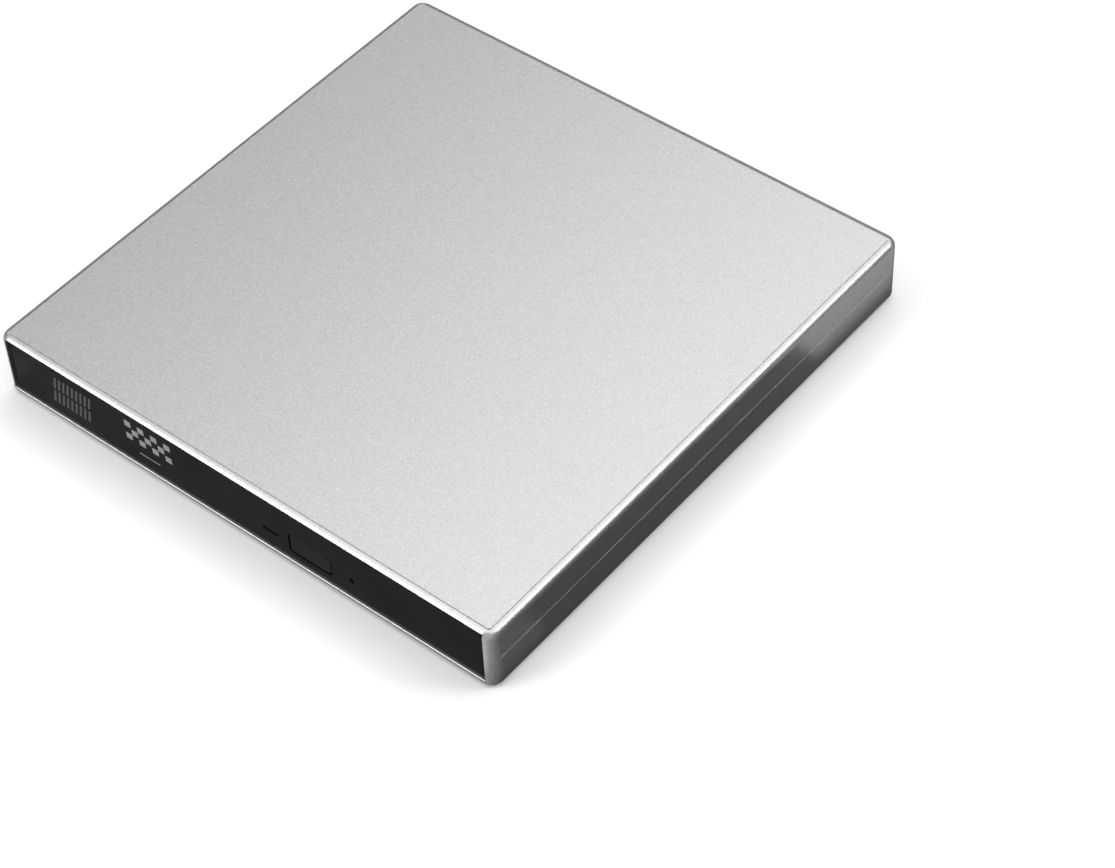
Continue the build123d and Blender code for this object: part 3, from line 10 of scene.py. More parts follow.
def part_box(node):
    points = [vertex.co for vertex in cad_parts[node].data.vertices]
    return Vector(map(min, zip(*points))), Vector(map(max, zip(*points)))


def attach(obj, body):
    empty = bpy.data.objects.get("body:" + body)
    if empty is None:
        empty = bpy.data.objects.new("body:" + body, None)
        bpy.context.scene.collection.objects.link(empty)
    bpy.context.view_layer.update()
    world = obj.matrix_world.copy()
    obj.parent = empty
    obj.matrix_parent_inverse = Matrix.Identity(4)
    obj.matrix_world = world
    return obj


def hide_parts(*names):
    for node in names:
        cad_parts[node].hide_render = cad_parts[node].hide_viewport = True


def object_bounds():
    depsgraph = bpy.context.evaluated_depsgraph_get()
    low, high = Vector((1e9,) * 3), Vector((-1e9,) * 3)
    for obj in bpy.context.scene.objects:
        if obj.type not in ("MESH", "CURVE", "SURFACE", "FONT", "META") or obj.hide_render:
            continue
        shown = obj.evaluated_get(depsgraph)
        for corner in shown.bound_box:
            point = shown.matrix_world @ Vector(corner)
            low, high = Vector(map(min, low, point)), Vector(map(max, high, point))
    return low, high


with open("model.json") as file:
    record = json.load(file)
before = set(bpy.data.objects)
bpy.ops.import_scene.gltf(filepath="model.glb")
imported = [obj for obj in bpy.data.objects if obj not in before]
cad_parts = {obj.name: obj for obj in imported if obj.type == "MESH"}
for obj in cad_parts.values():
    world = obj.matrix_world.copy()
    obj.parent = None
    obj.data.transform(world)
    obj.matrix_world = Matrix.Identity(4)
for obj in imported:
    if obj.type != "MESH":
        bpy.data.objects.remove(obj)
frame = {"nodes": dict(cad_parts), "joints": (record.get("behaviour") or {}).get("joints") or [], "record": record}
cad_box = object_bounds()
NODES = frame["nodes"]
RECORD = frame["record"]
MM = 0.001
random.seed(7)

# --- Camera -------------------------------------------------------------------------------
# The photograph looks down on the drive from its front right corner, slightly rolled.
CAMERA_AZIMUTH, CAMERA_ELEVATION, CAMERA_ROLL = 40.88, 47.64, -2.82
CAMERA_DISTANCE, CAMERA_LENS, SENSOR_WIDTH = 0.6724, 96.7, 36.0
CAMERA_NEAR, CAMERA_FAR = 0.01, 20.0
CAMERA_TARGET = Vector((0.0375, -0.0093, 0.0008))


def make_camera():
    azimuth, elevation = math.radians(CAMERA_AZIMUTH), math.radians(CAMERA_ELEVATION)
    roll = math.radians(CAMERA_ROLL)
    back = Vector((
        math.sin(azimuth) * math.cos(elevation),
        -math.cos(azimuth) * math.cos(elevation),
        math.sin(elevation),
    ))
    right = Vector((math.cos(azimuth), math.sin(azimuth), 0.0))
    up = back.cross(right)
    rolled_right = math.cos(roll) * right + math.sin(roll) * up
    rolled_up = math.cos(roll) * up - math.sin(roll) * right
    data = bpy.data.cameras.new("camera")
    data.lens = CAMERA_LENS
    data.sensor_width = SENSOR_WIDTH
    data.clip_start, data.clip_end = CAMERA_NEAR, CAMERA_FAR
    camera = bpy.data.objects.new("camera", data)
    bpy.context.scene.collection.objects.link(camera)
    turn = Matrix((rolled_right, rolled_up, back)).transposed()
    camera.matrix_world = Matrix.Translation(CAMERA_TARGET + back * CAMERA_DISTANCE) @ turn.to_4x4()
    bpy.context.scene.camera = camera


make_camera()

# --- Materials ----------------------------------------------------------------------------


class Paint:
    """One Principled material, with short calls for the procedural nodes that drive it."""

    def __init__(self, name, metallic=0.0, **constants):
        self.material = bpy.data.materials.new(name)
        self.material.use_nodes = True
        self.tree = self.material.node_tree
        self.shader = self.tree.nodes["Principled BSDF"]
        self.shader.inputs["Metallic"].default_value = metallic
        for socket, value in constants.items():
            self.shader.inputs[socket.replace("_", " ")].default_value = value
        self.position = self.tree.nodes.new("ShaderNodeTexCoord").outputs["Object"]
        self.last_normal = None

    def add(self, kind, links=(), **settings):
        node = self.tree.nodes.new(kind)
        for name, value in settings.items():
            setattr(node, name, value)
        for socket, source in links:
            if isinstance(source, bpy.types.NodeSocket):
                self.tree.links.new(source, node.inputs[socket])
            else:
                node.inputs[socket].default_value = source
        return node

    def stretched(self, stretch):
        """Object coordinates scaled unevenly, for a grain that runs one way."""
        return self.add("ShaderNodeMapping", [("Vector", self.position), ("Scale", stretch)]).outputs[0]

    def noise(self, feature_mm, detail=2.0, vector=None):
        """Noise whose features are about that many millimetres across, from 0 to 1."""
        links = [("Vector", vector or self.position), ("Scale", 1.0 / (feature_mm * MM)), ("Detail", detail)]
        return self.add("ShaderNodeTexNoise", links).outputs["Fac"]

    def cells(self, feature_mm):
        """One random grey for each small cell."""
        links = [("Vector", self.position), ("Scale", 1.0 / (feature_mm * MM))]
        return self.add("ShaderNodeTexVoronoi", links).outputs["Color"]

    def spread(self, value, low, high, start=0.3, end=0.7):
        """Maps a 0 to 1 value onto low to high."""
        links = [("Value", value), ("From Min", start), ("From Max", end), ("To Min", low), ("To Max", high)]
        return self.add("ShaderNodeMapRange", links).outputs["Result"]

    def tones(self, value, dark, light, start=0.3, end=0.7):
        """Mixes two colours by a 0 to 1 value."""
        ramp = self.add("ShaderNodeValToRGB", [("Fac", value)])
        ramp.color_ramp.elements[0].position = start
        ramp.color_ramp.elements[1].position = end
        ramp.color_ramp.elements[0].color = (*dark, 1.0)
        ramp.color_ramp.elements[1].color = (*light, 1.0)
        return ramp.outputs["Color"]

    def colour(self, source):
        self.tree.links.new(source, self.shader.inputs["Base Color"])
        return self

    def roughness(self, source):
        self.tree.links.new(source, self.shader.inputs["Roughness"])
        return self

    def bump(self, height, distance_mm, strength=1.0):
        """Adds relief; calls stack."""
        links = [("Height", height), ("Distance", distance_mm * MM), ("Strength", strength)]
        if self.last_normal:
            links.append(("Normal", self.last_normal))
        self.last_normal = self.add("ShaderNodeBump", links).outputs["Normal"]
        self.tree.links.new(self.last_normal, self.shader.inputs["Normal"])
        return self


def grey(value):
    return (value, value, value)


def silver_paint():
    """Silver paint with fine metal flakes over moulded plastic."""
    paint = Paint("silver_paint", metallic=0.9, Coat_Weight=0.12, Coat_Roughness=0.25)
    flakes = paint.cells(0.22)
    mottle = paint.noise(0.7, detail=3.0)
    links = [("Factor", 0.45), ("A", flakes), ("B", mottle)]
    speckle = paint.add("ShaderNodeMix", links, data_type="FLOAT").outputs[0]
    paint.colour(paint.tones(speckle, grey(0.37), grey(0.49), start=0.25, end=0.75))
    paint.roughness(paint.spread(mottle, low=0.34, high=0.44))
    paint.bump(paint.noise(0.28, detail=1.0), distance_mm=0.012, strength=0.35)
    paint.bump(mottle, distance_mm=0.02, strength=0.25)
    return paint.material


def moulded_plastic(name, dark, light, rough, grain_mm=0.35, relief_mm=0.01, **constants):
    """Moulded plastic: a fine spark-eroded grain, and patches that are a little more polished."""
    paint = Paint(name, **constants)
    grain = paint.noise(grain_mm, detail=3.0)
    patches = paint.noise(9.0, detail=2.0)
    paint.colour(paint.tones(grain, dark, light))
    paint.roughness(paint.spread(patches, low=rough - 0.05, high=rough + 0.06))
    paint.bump(grain, relief_mm, strength=0.5)
    return paint.material


def bezel_plastic(name, rough, reflection):
    """The near-black plastic of the bezel and its button, which reflects little."""
    dark, light = grey(0.006), grey(0.010)
    grain_mm, relief_mm = 0.3, 0.006
    return moulded_plastic(name, dark, light, rough, grain_mm, relief_mm, Specular_IOR_Level=reflection)


def soft_rubber():
    paint = Paint("soft_rubber", Sheen_Weight=0.15)
    grain = paint.noise(0.25, detail=4.0)
    dust = paint.noise(3.0, detail=3.0)
    paint.colour(paint.tones(dust, grey(0.018), grey(0.040)))
    paint.roughness(paint.spread(grain, low=0.72, high=0.9))
    paint.bump(grain, distance_mm=0.03, strength=0.6)
    return paint.material


def metal(name, dark, light, rough, brushed=None, grain_mm=0.5, relief_mm=0.004):
    """Metal whose grain is even, or drawn out along one direction when brushed."""
    paint = Paint(name, metallic=1.0)
    vector = paint.stretched(brushed) if brushed else paint.position
    grain = paint.noise(grain_mm, detail=4.0, vector=vector)
    stains = paint.noise(7.0, detail=3.0)
    paint.colour(paint.tones(stains, dark, light))
    paint.roughness(paint.spread(grain, low=rough - 0.07, high=rough + 0.1))
    paint.bump(grain, relief_mm, strength=0.6)
    return paint.material


def circuit_board():
    """Green solder mask over copper tracks, raised a little where copper lies under it."""
    paint = Paint("circuit_board", Coat_Weight=0.5, Coat_Roughness=0.15)
    layout = [
        ("Vector", paint.position),
        ("Scale", 420.0),
        ("Mortar Size", 0.06),
        ("Brick Width", 1.9),
        ("Row Height", 0.34),
    ]
    tracks = paint.add("ShaderNodeTexBrick", layout).outputs["Fac"]
    weave = paint.noise(0.4, detail=2.0)
    paint.colour(paint.tones(tracks, (0.006, 0.055, 0.022), (0.02, 0.13, 0.05), start=0.0, end=1.0))
    paint.roughness(paint.spread(weave, low=0.3, high=0.42))
    paint.bump(tracks, distance_mm=0.03, strength=0.5)
    return paint.material


def ribbon_film():
    """Amber film over parallel copper conductors."""
    paint = Paint("ribbon_film", Coat_Weight=0.4, Coat_Roughness=0.2)
    links = [("Vector", paint.position), ("Scale", 320.0), ("Distortion", 0.0)]
    lines = paint.add("ShaderNodeTexWave", links, bands_direction="X").outputs["Fac"]
    paint.colour(paint.tones(lines, (0.28, 0.11, 0.015), (0.55, 0.26, 0.06)))
    paint.roughness(paint.spread(paint.noise(2.0), low=0.3, high=0.42))
    paint.bump(lines, distance_mm=0.02, strength=0.4)
    return paint.material


def coated_lens():
    paint = Paint("coated_lens", Transmission_Weight=0.6, Coat_Weight=1.0, Coat_Roughness=0.02)
    tint = paint.noise(3.0)
    paint.colour(paint.tones(tint, (0.16, 0.20, 0.55), (0.30, 0.22, 0.62)))
    paint.roughness(paint.spread(tint, low=0.03, high=0.06))
    return paint.material


def status_window():
    paint = Paint("status_window", Specular_IOR_Level=0.1)
    haze = paint.noise(0.5)
    paint.colour(paint.tones(haze, grey(0.002), grey(0.005)))
    paint.roughness(paint.spread(haze, low=0.18, high=0.26))
    return paint.material


def printed_ink(name, dark, light):
    """Screen-printed ink, a little uneven where it lies thin over the plastic's grain."""
    paint = Paint(name, Specular_IOR_Level=0.2)
    mesh_marks = paint.noise(0.12, detail=2.0)
    paint.colour(paint.tones(mesh_marks, grey(dark), grey(light)))
    paint.roughness(paint.spread(mesh_marks, low=0.45, high=0.6))
    paint.bump(mesh_marks, distance_mm=0.004, strength=0.5)
    return paint.material


def make_materials():
    """One material for each slot of the record, and a few more for the button and the detail pieces."""
    return {
        "silver_case": silver_paint(),
        "black_bezel": bezel_plastic("bezel_black", rough=0.42, reflection=0.05),
        "tray_plastic": moulded_plastic(
            "tray_black", grey(0.016), grey(0.026), rough=0.5, grain_mm=0.45, relief_mm=0.02,
        ),
        "dark_plastic": moulded_plastic("dark_plastic", grey(0.012), grey(0.020), rough=0.42),
        "white_nylon": moulded_plastic("natural_nylon", (0.60, 0.58, 0.52), (0.70, 0.68, 0.62), rough=0.45),
        "rubber": soft_rubber(),
        "sheet_steel": metal("sheet_steel", grey(0.36), grey(0.44), rough=0.32, brushed=(0.06, 1.0, 1.0)),
        "bright_steel": metal("bright_steel", grey(0.36), grey(0.44), rough=0.2),
        "black_steel": metal("black_steel", grey(0.035), grey(0.055), rough=0.42),
        "screw_steel": metal("screw_steel", grey(0.24), grey(0.34), rough=0.3, grain_mm=0.3),
        "circuit_board": circuit_board(),
        "chip_epoxy": moulded_plastic("chip_epoxy", grey(0.014), grey(0.026), rough=0.55, grain_mm=0.2),
        "contact_gold": metal("contact_gold", (0.72, 0.48, 0.16), (0.85, 0.60, 0.24), rough=0.2),
        "ribbon": ribbon_film(),
        "aluminium": metal("cast_aluminium", grey(0.30), grey(0.38), 0.36, grain_mm=0.4, relief_mm=0.008),
        "lens_glass": coated_lens(),
        "status_lens": status_window(),
        "button": bezel_plastic("button_black", rough=0.36, reflection=0.07),
        "dim_ink": printed_ink("dim_ink", dark=0.055, light=0.075),
        "light_ink": printed_ink("light_ink", dark=0.20, light=0.26),
        "solder": metal("solder", grey(0.50), grey(0.62), rough=0.22, grain_mm=0.3),
    }


MATERIALS = make_materials()


def dress_cad_nodes():
    for row in RECORD["subparts"]:
        node = NODES[row["node"]]
        for material_slot in node.material_slots:
            material_slot.material = MATERIALS[row["material_slot"]]
    for material_slot in NODES["eject_button"].material_slots:
        material_slot.material = MATERIALS["button"]


dress_cad_nodes()

# --- Mesh tools ---------------------------------------------------------------------------
SHARP_ANGLE = math.radians(32.0)
ROUND_SEGMENTS, THREAD_SEGMENTS = 32, 24


def new_piece(name, bm, body, slot, *materials):
    """A finished mesh as a piece that rides on a body."""
    bmesh.ops.recalc_face_normals(bm, faces=bm.faces)
    mesh = bpy.data.meshes.new(name)
    bm.to_mesh(mesh)
    bm.free()
    mesh.shade_smooth()
    mesh.set_sharp_from_angle(angle=SHARP_ANGLE)
    for material in materials:
        mesh.materials.append(material)
    piece = bpy.data.objects.new(name, mesh)
    bpy.context.scene.collection.objects.link(piece)
    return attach(piece, body)


def solids(node):
    """The lowest and highest corner of each separate solid in a CAD node."""
    mesh = NODES[node].data
    spots = [tuple(round(c, 6) for c in vertex.co) for vertex in mesh.vertices]
    group = {spot: spot for spot in spots}

    def root(spot):
        while group[spot] != spot:
            spot = group[spot]
        return spot

    for edge in mesh.edges:
        first, second = (root(spots[index]) for index in edge.vertices)
        group[max(first, second)] = min(first, second)
    members = {}
    for spot in sorted(group):
        members.setdefault(root(spot), []).append(spot)
    return [(Vector(map(min, zip(*m))), Vector(map(max, zip(*m)))) for m in members.values()]


def ring(bm, points):
    return [bm.verts.new(point) for point in points]


def skin(bm, rings):
    """Joins rings of equal length into a tube, and closes its ends."""
    count = len(rings[0])
    for lower, upper in zip(rings, rings[1:]):
        for i in range(count):
            j = (i + 1) % count
            bm.faces.new((lower[i], lower[j], upper[j], upper[i]))
    bm.faces.new(reversed(rings[0]))
    bm.faces.new(rings[-1])


def circle_points(radius_at, z, segments):
    """Points round the Z axis, each at the radius that radius_at gives for its angle."""
    points = []
    for i in range(segments):
        angle = 2.0 * math.pi * i / segments
        r = radius_at(angle)
        points.append((r * math.cos(angle), r * math.sin(angle), z))
    return points


def lathe(bm, profile, segments=ROUND_SEGMENTS):
    """A turned form about the Z axis from (radius, z) pairs."""
    rings = []
    for radius, z in profile:
        rings.append(ring(bm, circle_points(lambda angle, r=radius: r, z, segments)))
    skin(bm, rings)


def thread(bm, core, crest, pitch, z0, z1, steps_per_turn=10, sharpness=1.6, hand=1.0):
    """A screw thread about the Z axis, right-handed unless hand is -1."""
    count = max(2, round(abs(z1 - z0) / pitch * steps_per_turn))
    rings = []
    for step in range(count + 1):
        z = z0 + (z1 - z0) * step / count

        def radius(angle, z=z):
            wave = 0.5 + 0.5 * math.cos(2.0 * math.pi * z / pitch - hand * angle)
            return core + (crest - core) * wave ** sharpness

        rings.append(ring(bm, circle_points(radius, z, THREAD_SEGMENTS)))
    skin(bm, rings)


def carve(blank, cutter):
    """The first form with the second cut out of it; both are used up."""
    made = []
    for name, source in (("blank", blank), ("cutter", cutter)):
        bmesh.ops.recalc_face_normals(source, faces=source.faces)
        mesh = bpy.data.meshes.new(name)
        source.to_mesh(mesh)
        source.free()
        made.append(bpy.data.objects.new(name, mesh))
        bpy.context.scene.collection.objects.link(made[-1])
    cut = made[0].modifiers.new("cut", "BOOLEAN")
    cut.object, cut.solver = made[1], "EXACT"
    evaluated = made[0].evaluated_get(bpy.context.evaluated_depsgraph_get())
    mesh = bpy.data.meshes.new_from_object(evaluated)
    result = bmesh.new()
    result.from_mesh(mesh)
    for piece in made:
        source = piece.data
        bpy.data.objects.remove(piece)
        bpy.data.meshes.remove(source)
    bpy.data.meshes.remove(mesh)
    return result


def stamp(target, source, matrix):
    """Copies one mesh into another, moved by a matrix."""
    mesh = bpy.data.meshes.new("stamp")
    source.to_mesh(mesh)
    mesh.transform(matrix)
    target.from_mesh(mesh)
    bpy.data.meshes.remove(mesh)


def box_form(bm, low, high, bevel=0.0, material_index=0):
    """A box between two corners, with its edges eased."""
    size, middle = high - low, (high + low) / 2
    matrix = Matrix.Translation(middle) @ Matrix.Diagonal((*size, 1.0))
    form = bmesh.new()
    bmesh.ops.create_cube(form, size=1.0, matrix=matrix)
    if bevel:
        bmesh.ops.bevel(form, geom=form.edges[:], offset=bevel, segments=2, profile=0.7, affect="EDGES")
    for face in form.faces:
        face.material_index = material_index
    stamp(bm, form, Matrix.Identity(4))
    form.free()


# --- Bezel marks --------------------------------------------------------------------------
# Places are measured from the bezel's lower left corner.
INK_PROUD, INK_SUNK, INK_SOFTENING = 0.02 * MM, 0.05 * MM, 0.12 * MM
HATCH_LEFT, HATCH_RIGHT, HATCH_LOW, HATCH_HIGH = 12.7 * MM, 26.5 * MM, 3.2 * MM, 11.7 * MM
HATCH_BARS, HATCH_LEAN, HATCH_GAP, HATCH_FILL = 9, 1.6 * MM, 0.7 * MM, 0.5
BLOCKS_LEFT, BLOCKS_LOW, BLOCK_PITCH = 36.3 * MM, 6.4 * MM, 2.0 * MM
BLOCK_ROWS, BLOCK_COLUMNS, BLOCK_FILL_X, BLOCK_FILL_Z = 3, 7, 0.95, 0.9
LINE_LEFT, LINE_RIGHT, LINE_LOW, LINE_HIGH = 39.7 * MM, 46.0 * MM, 3.25 * MM, 3.55 * MM


def ink_bar(bm, x0, x1, z0, z1, lean=0.0):
    """One bar of grey ink with softened corners, its top leaning to the right."""
    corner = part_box("front_bezel")[0]
    x0, x1, z0, z1 = x0 + corner.x, x1 + corner.x, z0 + corner.z, z1 + corner.z
    s = min(INK_SOFTENING, (x1 - x0) / 3, (z1 - z0) / 3)
    outline = (
        (x0 + s, z0), (x1 - s, z0), (x1, z0 + s), (x1, z1 - s),
        (x1 - s, z1), (x0 + s, z1), (x0, z1 - s), (x0, z0 + s),
    )
    rings = []
    for y in (corner.y + INK_SUNK, corner.y - INK_PROUD):
        rings.append(ring(bm, [(x + lean * (z - z0) / (z1 - z0), y, z) for x, z in outline]))
    skin(bm, rings)


def hatched_mark():
    """A dim mark on the left: two rows of leaning bars."""
    bm = bmesh.new()
    pitch = (HATCH_RIGHT - HATCH_LEFT - HATCH_LEAN) / HATCH_BARS
    middle, lean = (HATCH_LOW + HATCH_HIGH) / 2, HATCH_LEAN / 2
    for index in range(HATCH_BARS):
        left = HATCH_LEFT + pitch * index
        right = left + pitch * HATCH_FILL
        ink_bar(bm, left, right, HATCH_LOW, middle - HATCH_GAP / 2, lean)
        ink_bar(bm, left + lean, right + lean, middle + HATCH_GAP / 2, HATCH_HIGH, lean)
    new_piece("bezel_mark_hatched", bm, "tray", "black_bezel", MATERIALS["dim_ink"])


def chequered_mark():
    """A lighter mark beside it: three rows of small blocks, with a short line under them."""
    bm = bmesh.new()
    for row in range(BLOCK_ROWS):
        for column in range(BLOCK_COLUMNS):
            if (row + column) % 2 == 0:
                left, low = BLOCKS_LEFT + column * BLOCK_PITCH, BLOCKS_LOW + row * BLOCK_PITCH
                ink_bar(bm, left, left + BLOCK_PITCH * BLOCK_FILL_X, low, low + BLOCK_PITCH * BLOCK_FILL_Z)
    ink_bar(bm, LINE_LEFT, LINE_RIGHT, LINE_LOW, LINE_HIGH)
    new_piece("bezel_mark_blocks", bm, "tray", "black_bezel", MATERIALS["light_ink"])


# --- Screws -------------------------------------------------------------------------------
# Shares of the head's radius (_R) or height (_H), of its rounding, of the cross and of the shank's radius
UNDERSIDE_R, UNDERSIDE_H, TOP_FLAT_R, HEAD_ROUNDING_H, ROUNDING_MIDDLE = 0.96, 0.06, 0.3, 0.35, 0.3
RECESS_REACH_R, RECESS_WIDTH_R, RECESS_DEPTH_H = 0.62, 0.24, 0.6
RECESS_TAPER_LOW, RECESS_TAPER_HIGH = 0.45, 1.2
THREAD_CORE, SHANK_TIP = 0.82, 0.3
THREAD_START = 0.02 * MM
# Slack for comparing places in the mesh, in metres
TOUCH = 1e-6


def cross_recess(reach, width, top, depth):
    """The tapered cross that a driver fits, as a form to cut away."""
    bm = bmesh.new()
    rings = []
    for z, scale in ((top - depth, RECESS_TAPER_LOW), (top + depth, RECESS_TAPER_HIGH)):
        r, w = reach * scale, width * scale / 2
        points = [(r, -w), (r, w), (w, w)]
        for _ in range(3):
            points += [(-y, x) for x, y in points[-3:]]
        rings.append(ring(bm, [(x, y, z) for x, y in points]))
    skin(bm, rings)
    return bm


def screw_form(head_r, head_h, shank_r, shank_l, pitch):
    """A cross-head screw: its head stands on z 0, its threaded shank hangs below."""
    head = bmesh.new()
    ease = head_h * HEAD_ROUNDING_H
    lathe(head, (
        (head_r * UNDERSIDE_R, 0.0),
        (head_r, head_h * UNDERSIDE_H),
        (head_r, head_h - ease),
        (head_r - ease * ROUNDING_MIDDLE, head_h - ease * ROUNDING_MIDDLE),
        (head_r - ease, head_h),
        (head_r * TOP_FLAT_R, head_h),
    ))
    reach, width, depth = head_r * RECESS_REACH_R, head_r * RECESS_WIDTH_R, head_h * RECESS_DEPTH_H
    form = carve(head, cross_recess(reach, width, head_h, depth))
    core, thread_end = shank_r * THREAD_CORE, -shank_l + shank_r
    thread(form, core, shank_r, pitch, THREAD_START, thread_end)
    lathe(form, ((core, thread_end), (shank_r * SHANK_TIP, -shank_l)), THREAD_SEGMENTS)
    return form


def cross_head_screws(node, body, head_h, shank_r, pitch):
    """Replaces a CAD node of plain screws. A screw's axis is the side of its box unlike the others."""
    bm = bmesh.new()
    for low, high in solids(node):
        size, middle = high - low, (high + low) / 2
        axis = min(range(3), key=lambda i: abs(size[i - 1] - size[i - 2]))
        head_r = min(size[i] for i in range(3) if i != axis) / 2
        head_at_top = head_is_high(node, low, high, axis)
        direction = Vector([float(i == axis) for i in range(3)]) * (1.0 if head_at_top else -1.0)
        seat = middle.copy()
        seat[axis] = high[axis] - head_h if head_at_top else low[axis] + head_h
        turn = Matrix.Rotation(random.uniform(0.0, math.pi / 2), 4, "Z")
        matrix = upright_onto(seat, direction) @ turn
        form = screw_form(head_r, head_h, shank_r, size[axis] - head_h, pitch)
        stamp(bm, form, matrix)
        form.free()
    piece = new_piece(f"{node}_cross_head", bm, body, "screw_steel", MATERIALS["screw_steel"])
    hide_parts(node)


def upright_onto(place, direction):
    """The move that takes the origin to a place and the Z axis to a direction."""
    return Matrix.Translation(place) @ direction.to_track_quat("Z", "Y").to_matrix().to_4x4()


def head_is_high(node, low, high, axis):
    """Whether a screw's wide end is at the high end of its axis."""
    middle = (low + high) / 2
    widest, place = 0.0, 0.0
    for vertex in NODES[node].data.vertices:
        offset = vertex.co - middle
        if all(abs(offset[i]) <= (high - low)[i] / 2 + TOUCH for i in range(3)):
            along = offset[axis]
            offset[axis] = 0.0
            if offset.length > widest + TOUCH:
                widest, place = offset.length, along
    return place > 0.0


def make_screws():
    cross_head_screws("case_screws", "case", head_h=1.4 * MM, shank_r=1.0 * MM, pitch=0.8 * MM)
    cross_head_screws("chassis_screws", "case", head_h=0.5 * MM, shank_r=0.6 * MM, pitch=0.35 * MM)
    cross_head_screws("board_screws", "case", head_h=0.9 * MM, shank_r=0.9 * MM, pitch=0.6 * MM)
    cross_head_screws("tray_screws", "tray", head_h=0.6 * MM, shank_r=0.78 * MM, pitch=0.6 * MM)


# --- Lead screw ---------------------------------------------------------------------------
LEAD_CREST_SHARE = 0.9
LEAD_CORE_SHARE = 0.78
LEAD_STEPS_PER_TURN, LEAD_SHARPNESS, LEFT_HANDED = 24, 0.7, -1.0
JOURNAL_EASE = 0.1 * MM


def joint_named(name):
    return next(joint for joint in frame["joints"] if joint["name"] == name)


def threaded_lead_screw():
    """The pickup's lead screw with its long-pitch thread; its nut goes outward as it turns forward."""
    turn, travel = joint_named("screw_turn"), joint_named("sled_travel")
    distance = travel["range_m"][1] - travel["range_m"][0]
    degrees = turn["range_deg"][1] - turn["range_deg"][0]
    pitch = distance / degrees * 360.0
    origin, axis = Vector(turn["pos_m"]), Vector(turn["axis"])
    along, radii = [], []
    for vertex in NODES["lead_screw"].data.vertices:
        offset = vertex.co - origin
        along.append(offset.dot(axis))
        radii.append((offset - axis * along[-1]).length)
    crest = max(radii)
    threaded = [t for t, radius in zip(along, radii) if radius > LEAD_CREST_SHARE * crest]
    journal = max(radius for radius in radii if radius < LEAD_CREST_SHARE * crest)
    first, last, start, end = min(along), max(along), min(threaded), max(threaded)
    narrow = journal - JOURNAL_EASE
    bm = bmesh.new()
    front_end = ((narrow, first), (journal, first + JOURNAL_EASE), (journal, start + JOURNAL_EASE))
    rear_end = ((journal, end - JOURNAL_EASE), (journal, last - JOURNAL_EASE), (narrow, last))
    lathe(bm, front_end, THREAD_SEGMENTS)
    core = crest * LEAD_CORE_SHARE
    thread(bm, core, crest, pitch, start, end, LEAD_STEPS_PER_TURN, LEAD_SHARPNESS, LEFT_HANDED)
    lathe(bm, rear_end, THREAD_SEGMENTS)
    bm.transform(upright_onto(origin, axis))
    piece = new_piece("threaded_lead_screw", bm, "screw", "bright_steel", MATERIALS["bright_steel"])
    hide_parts("lead_screw")


# --- Boards -------------------------------------------------------------------------------
LEAD_PITCH, LEAD_W, LEAD_T = 0.65 * MM, 0.28 * MM, 0.06 * MM
LEAD_ROOT, LEAD_SHOULDER, LEAD_HEEL, LEAD_TOE = -0.1 * MM, 0.3 * MM, 0.45 * MM, 0.85 * MM
LEAD_HEIGHT_SHARE, LEAD_END_ROOM = 0.9, 1.6 * MM
UP = Vector((0.0, 0.0, 1.0))
SIDES = (Vector((1, 0, 0)), Vector((-1, 0, 0)), Vector((0, 1, 0)), Vector((0, -1, 0)))

# Small parts: length, width and height in millimetres, the free room kept round everything on the board,
# how much of it is given back between two small parts, and their caps and bodies as shares of the part
SMALL_SIZES = ((1.6, 0.8, 0.5), (1.0, 0.5, 0.35), (2.0, 1.25, 0.8))
ROOM_ROUND_LARGE, ROOM_TAKEN_BACK, MOST_TRIES = 1.3 * MM, 0.9 * MM, 4000
CAP_SHARE, BODY_SHARE = 0.22, 0.94
BODY_EASE, CAP_EASE = 0.03 * MM, 0.05 * MM
BOARD_EDGE, MAIN_BOARD_WIDE_PART, MAIN_BOARD_FRONT_EDGE = 1.2 * MM, 51.0 * MM, 4.4 * MM
BRIDGE_PARTS, MAIN_PARTS = 34, 46
BUSY_ON_BRIDGE_BOARD = (
    "bridge_chip", "clock_crystal", "filter_capacitors", "board_connector", "usb_socket_shell",
    "dc_jack_body", "board_screws",
)
BUSY_ON_MAIN_BOARD = ("main_chips", "tray_screws")


def gull_lead(bm, root, out, height):
    """One bent chip lead: out from the chip's side, down, and out along the board."""
    across = out.cross(UP) * (LEAD_W / 2)
    thick = (out + UP) * LEAD_T
    path = ((LEAD_ROOT, height), (LEAD_SHOULDER, height), (LEAD_HEEL, LEAD_T), (LEAD_TOE, LEAD_T))
    rings = []
    for reach, rise in path:
        spot = root + out * reach + UP * rise
        rings.append(ring(bm, [spot - across, spot + across, spot + across + thick, spot - across + thick]))
    skin(bm, rings)


def chip_leads(node, body):
    """Rows of leads on all four sides of each chip."""
    bm = bmesh.new()
    for low, high in solids(node):
        middle, half = (low + high) / 2, (high - low) / 2
        height = half.z * LEAD_HEIGHT_SHARE
        for out in SIDES:
            along = Vector((abs(out.y), abs(out.x), 0))
            length = 2 * abs(along.dot(half)) - LEAD_END_ROOM
            count = max(2, round(length / LEAD_PITCH))
            for index in range(count):
                step = (index - (count - 1) / 2) * length / (count - 1)
                root = middle + out * abs(out.dot(half)) + along * step
                root.z = low.z
                gull_lead(bm, root, out, height)
    new_piece(f"{node}_leads", bm, body, "bright_steel", MATERIALS["solder"])


def is_free(spot, taken):
    """Whether a spot keeps its distance from every taken one; both are (x0, y0, x1, y1)."""
    room = ROOM_ROUND_LARGE
    for other in taken:
        overlaps_x = spot[0] < other[2] + room and spot[2] > other[0] - room
        overlaps_y = spot[1] < other[3] + room and spot[3] > other[1] - room
        if overlaps_x and overlaps_y:
            return False
    return True


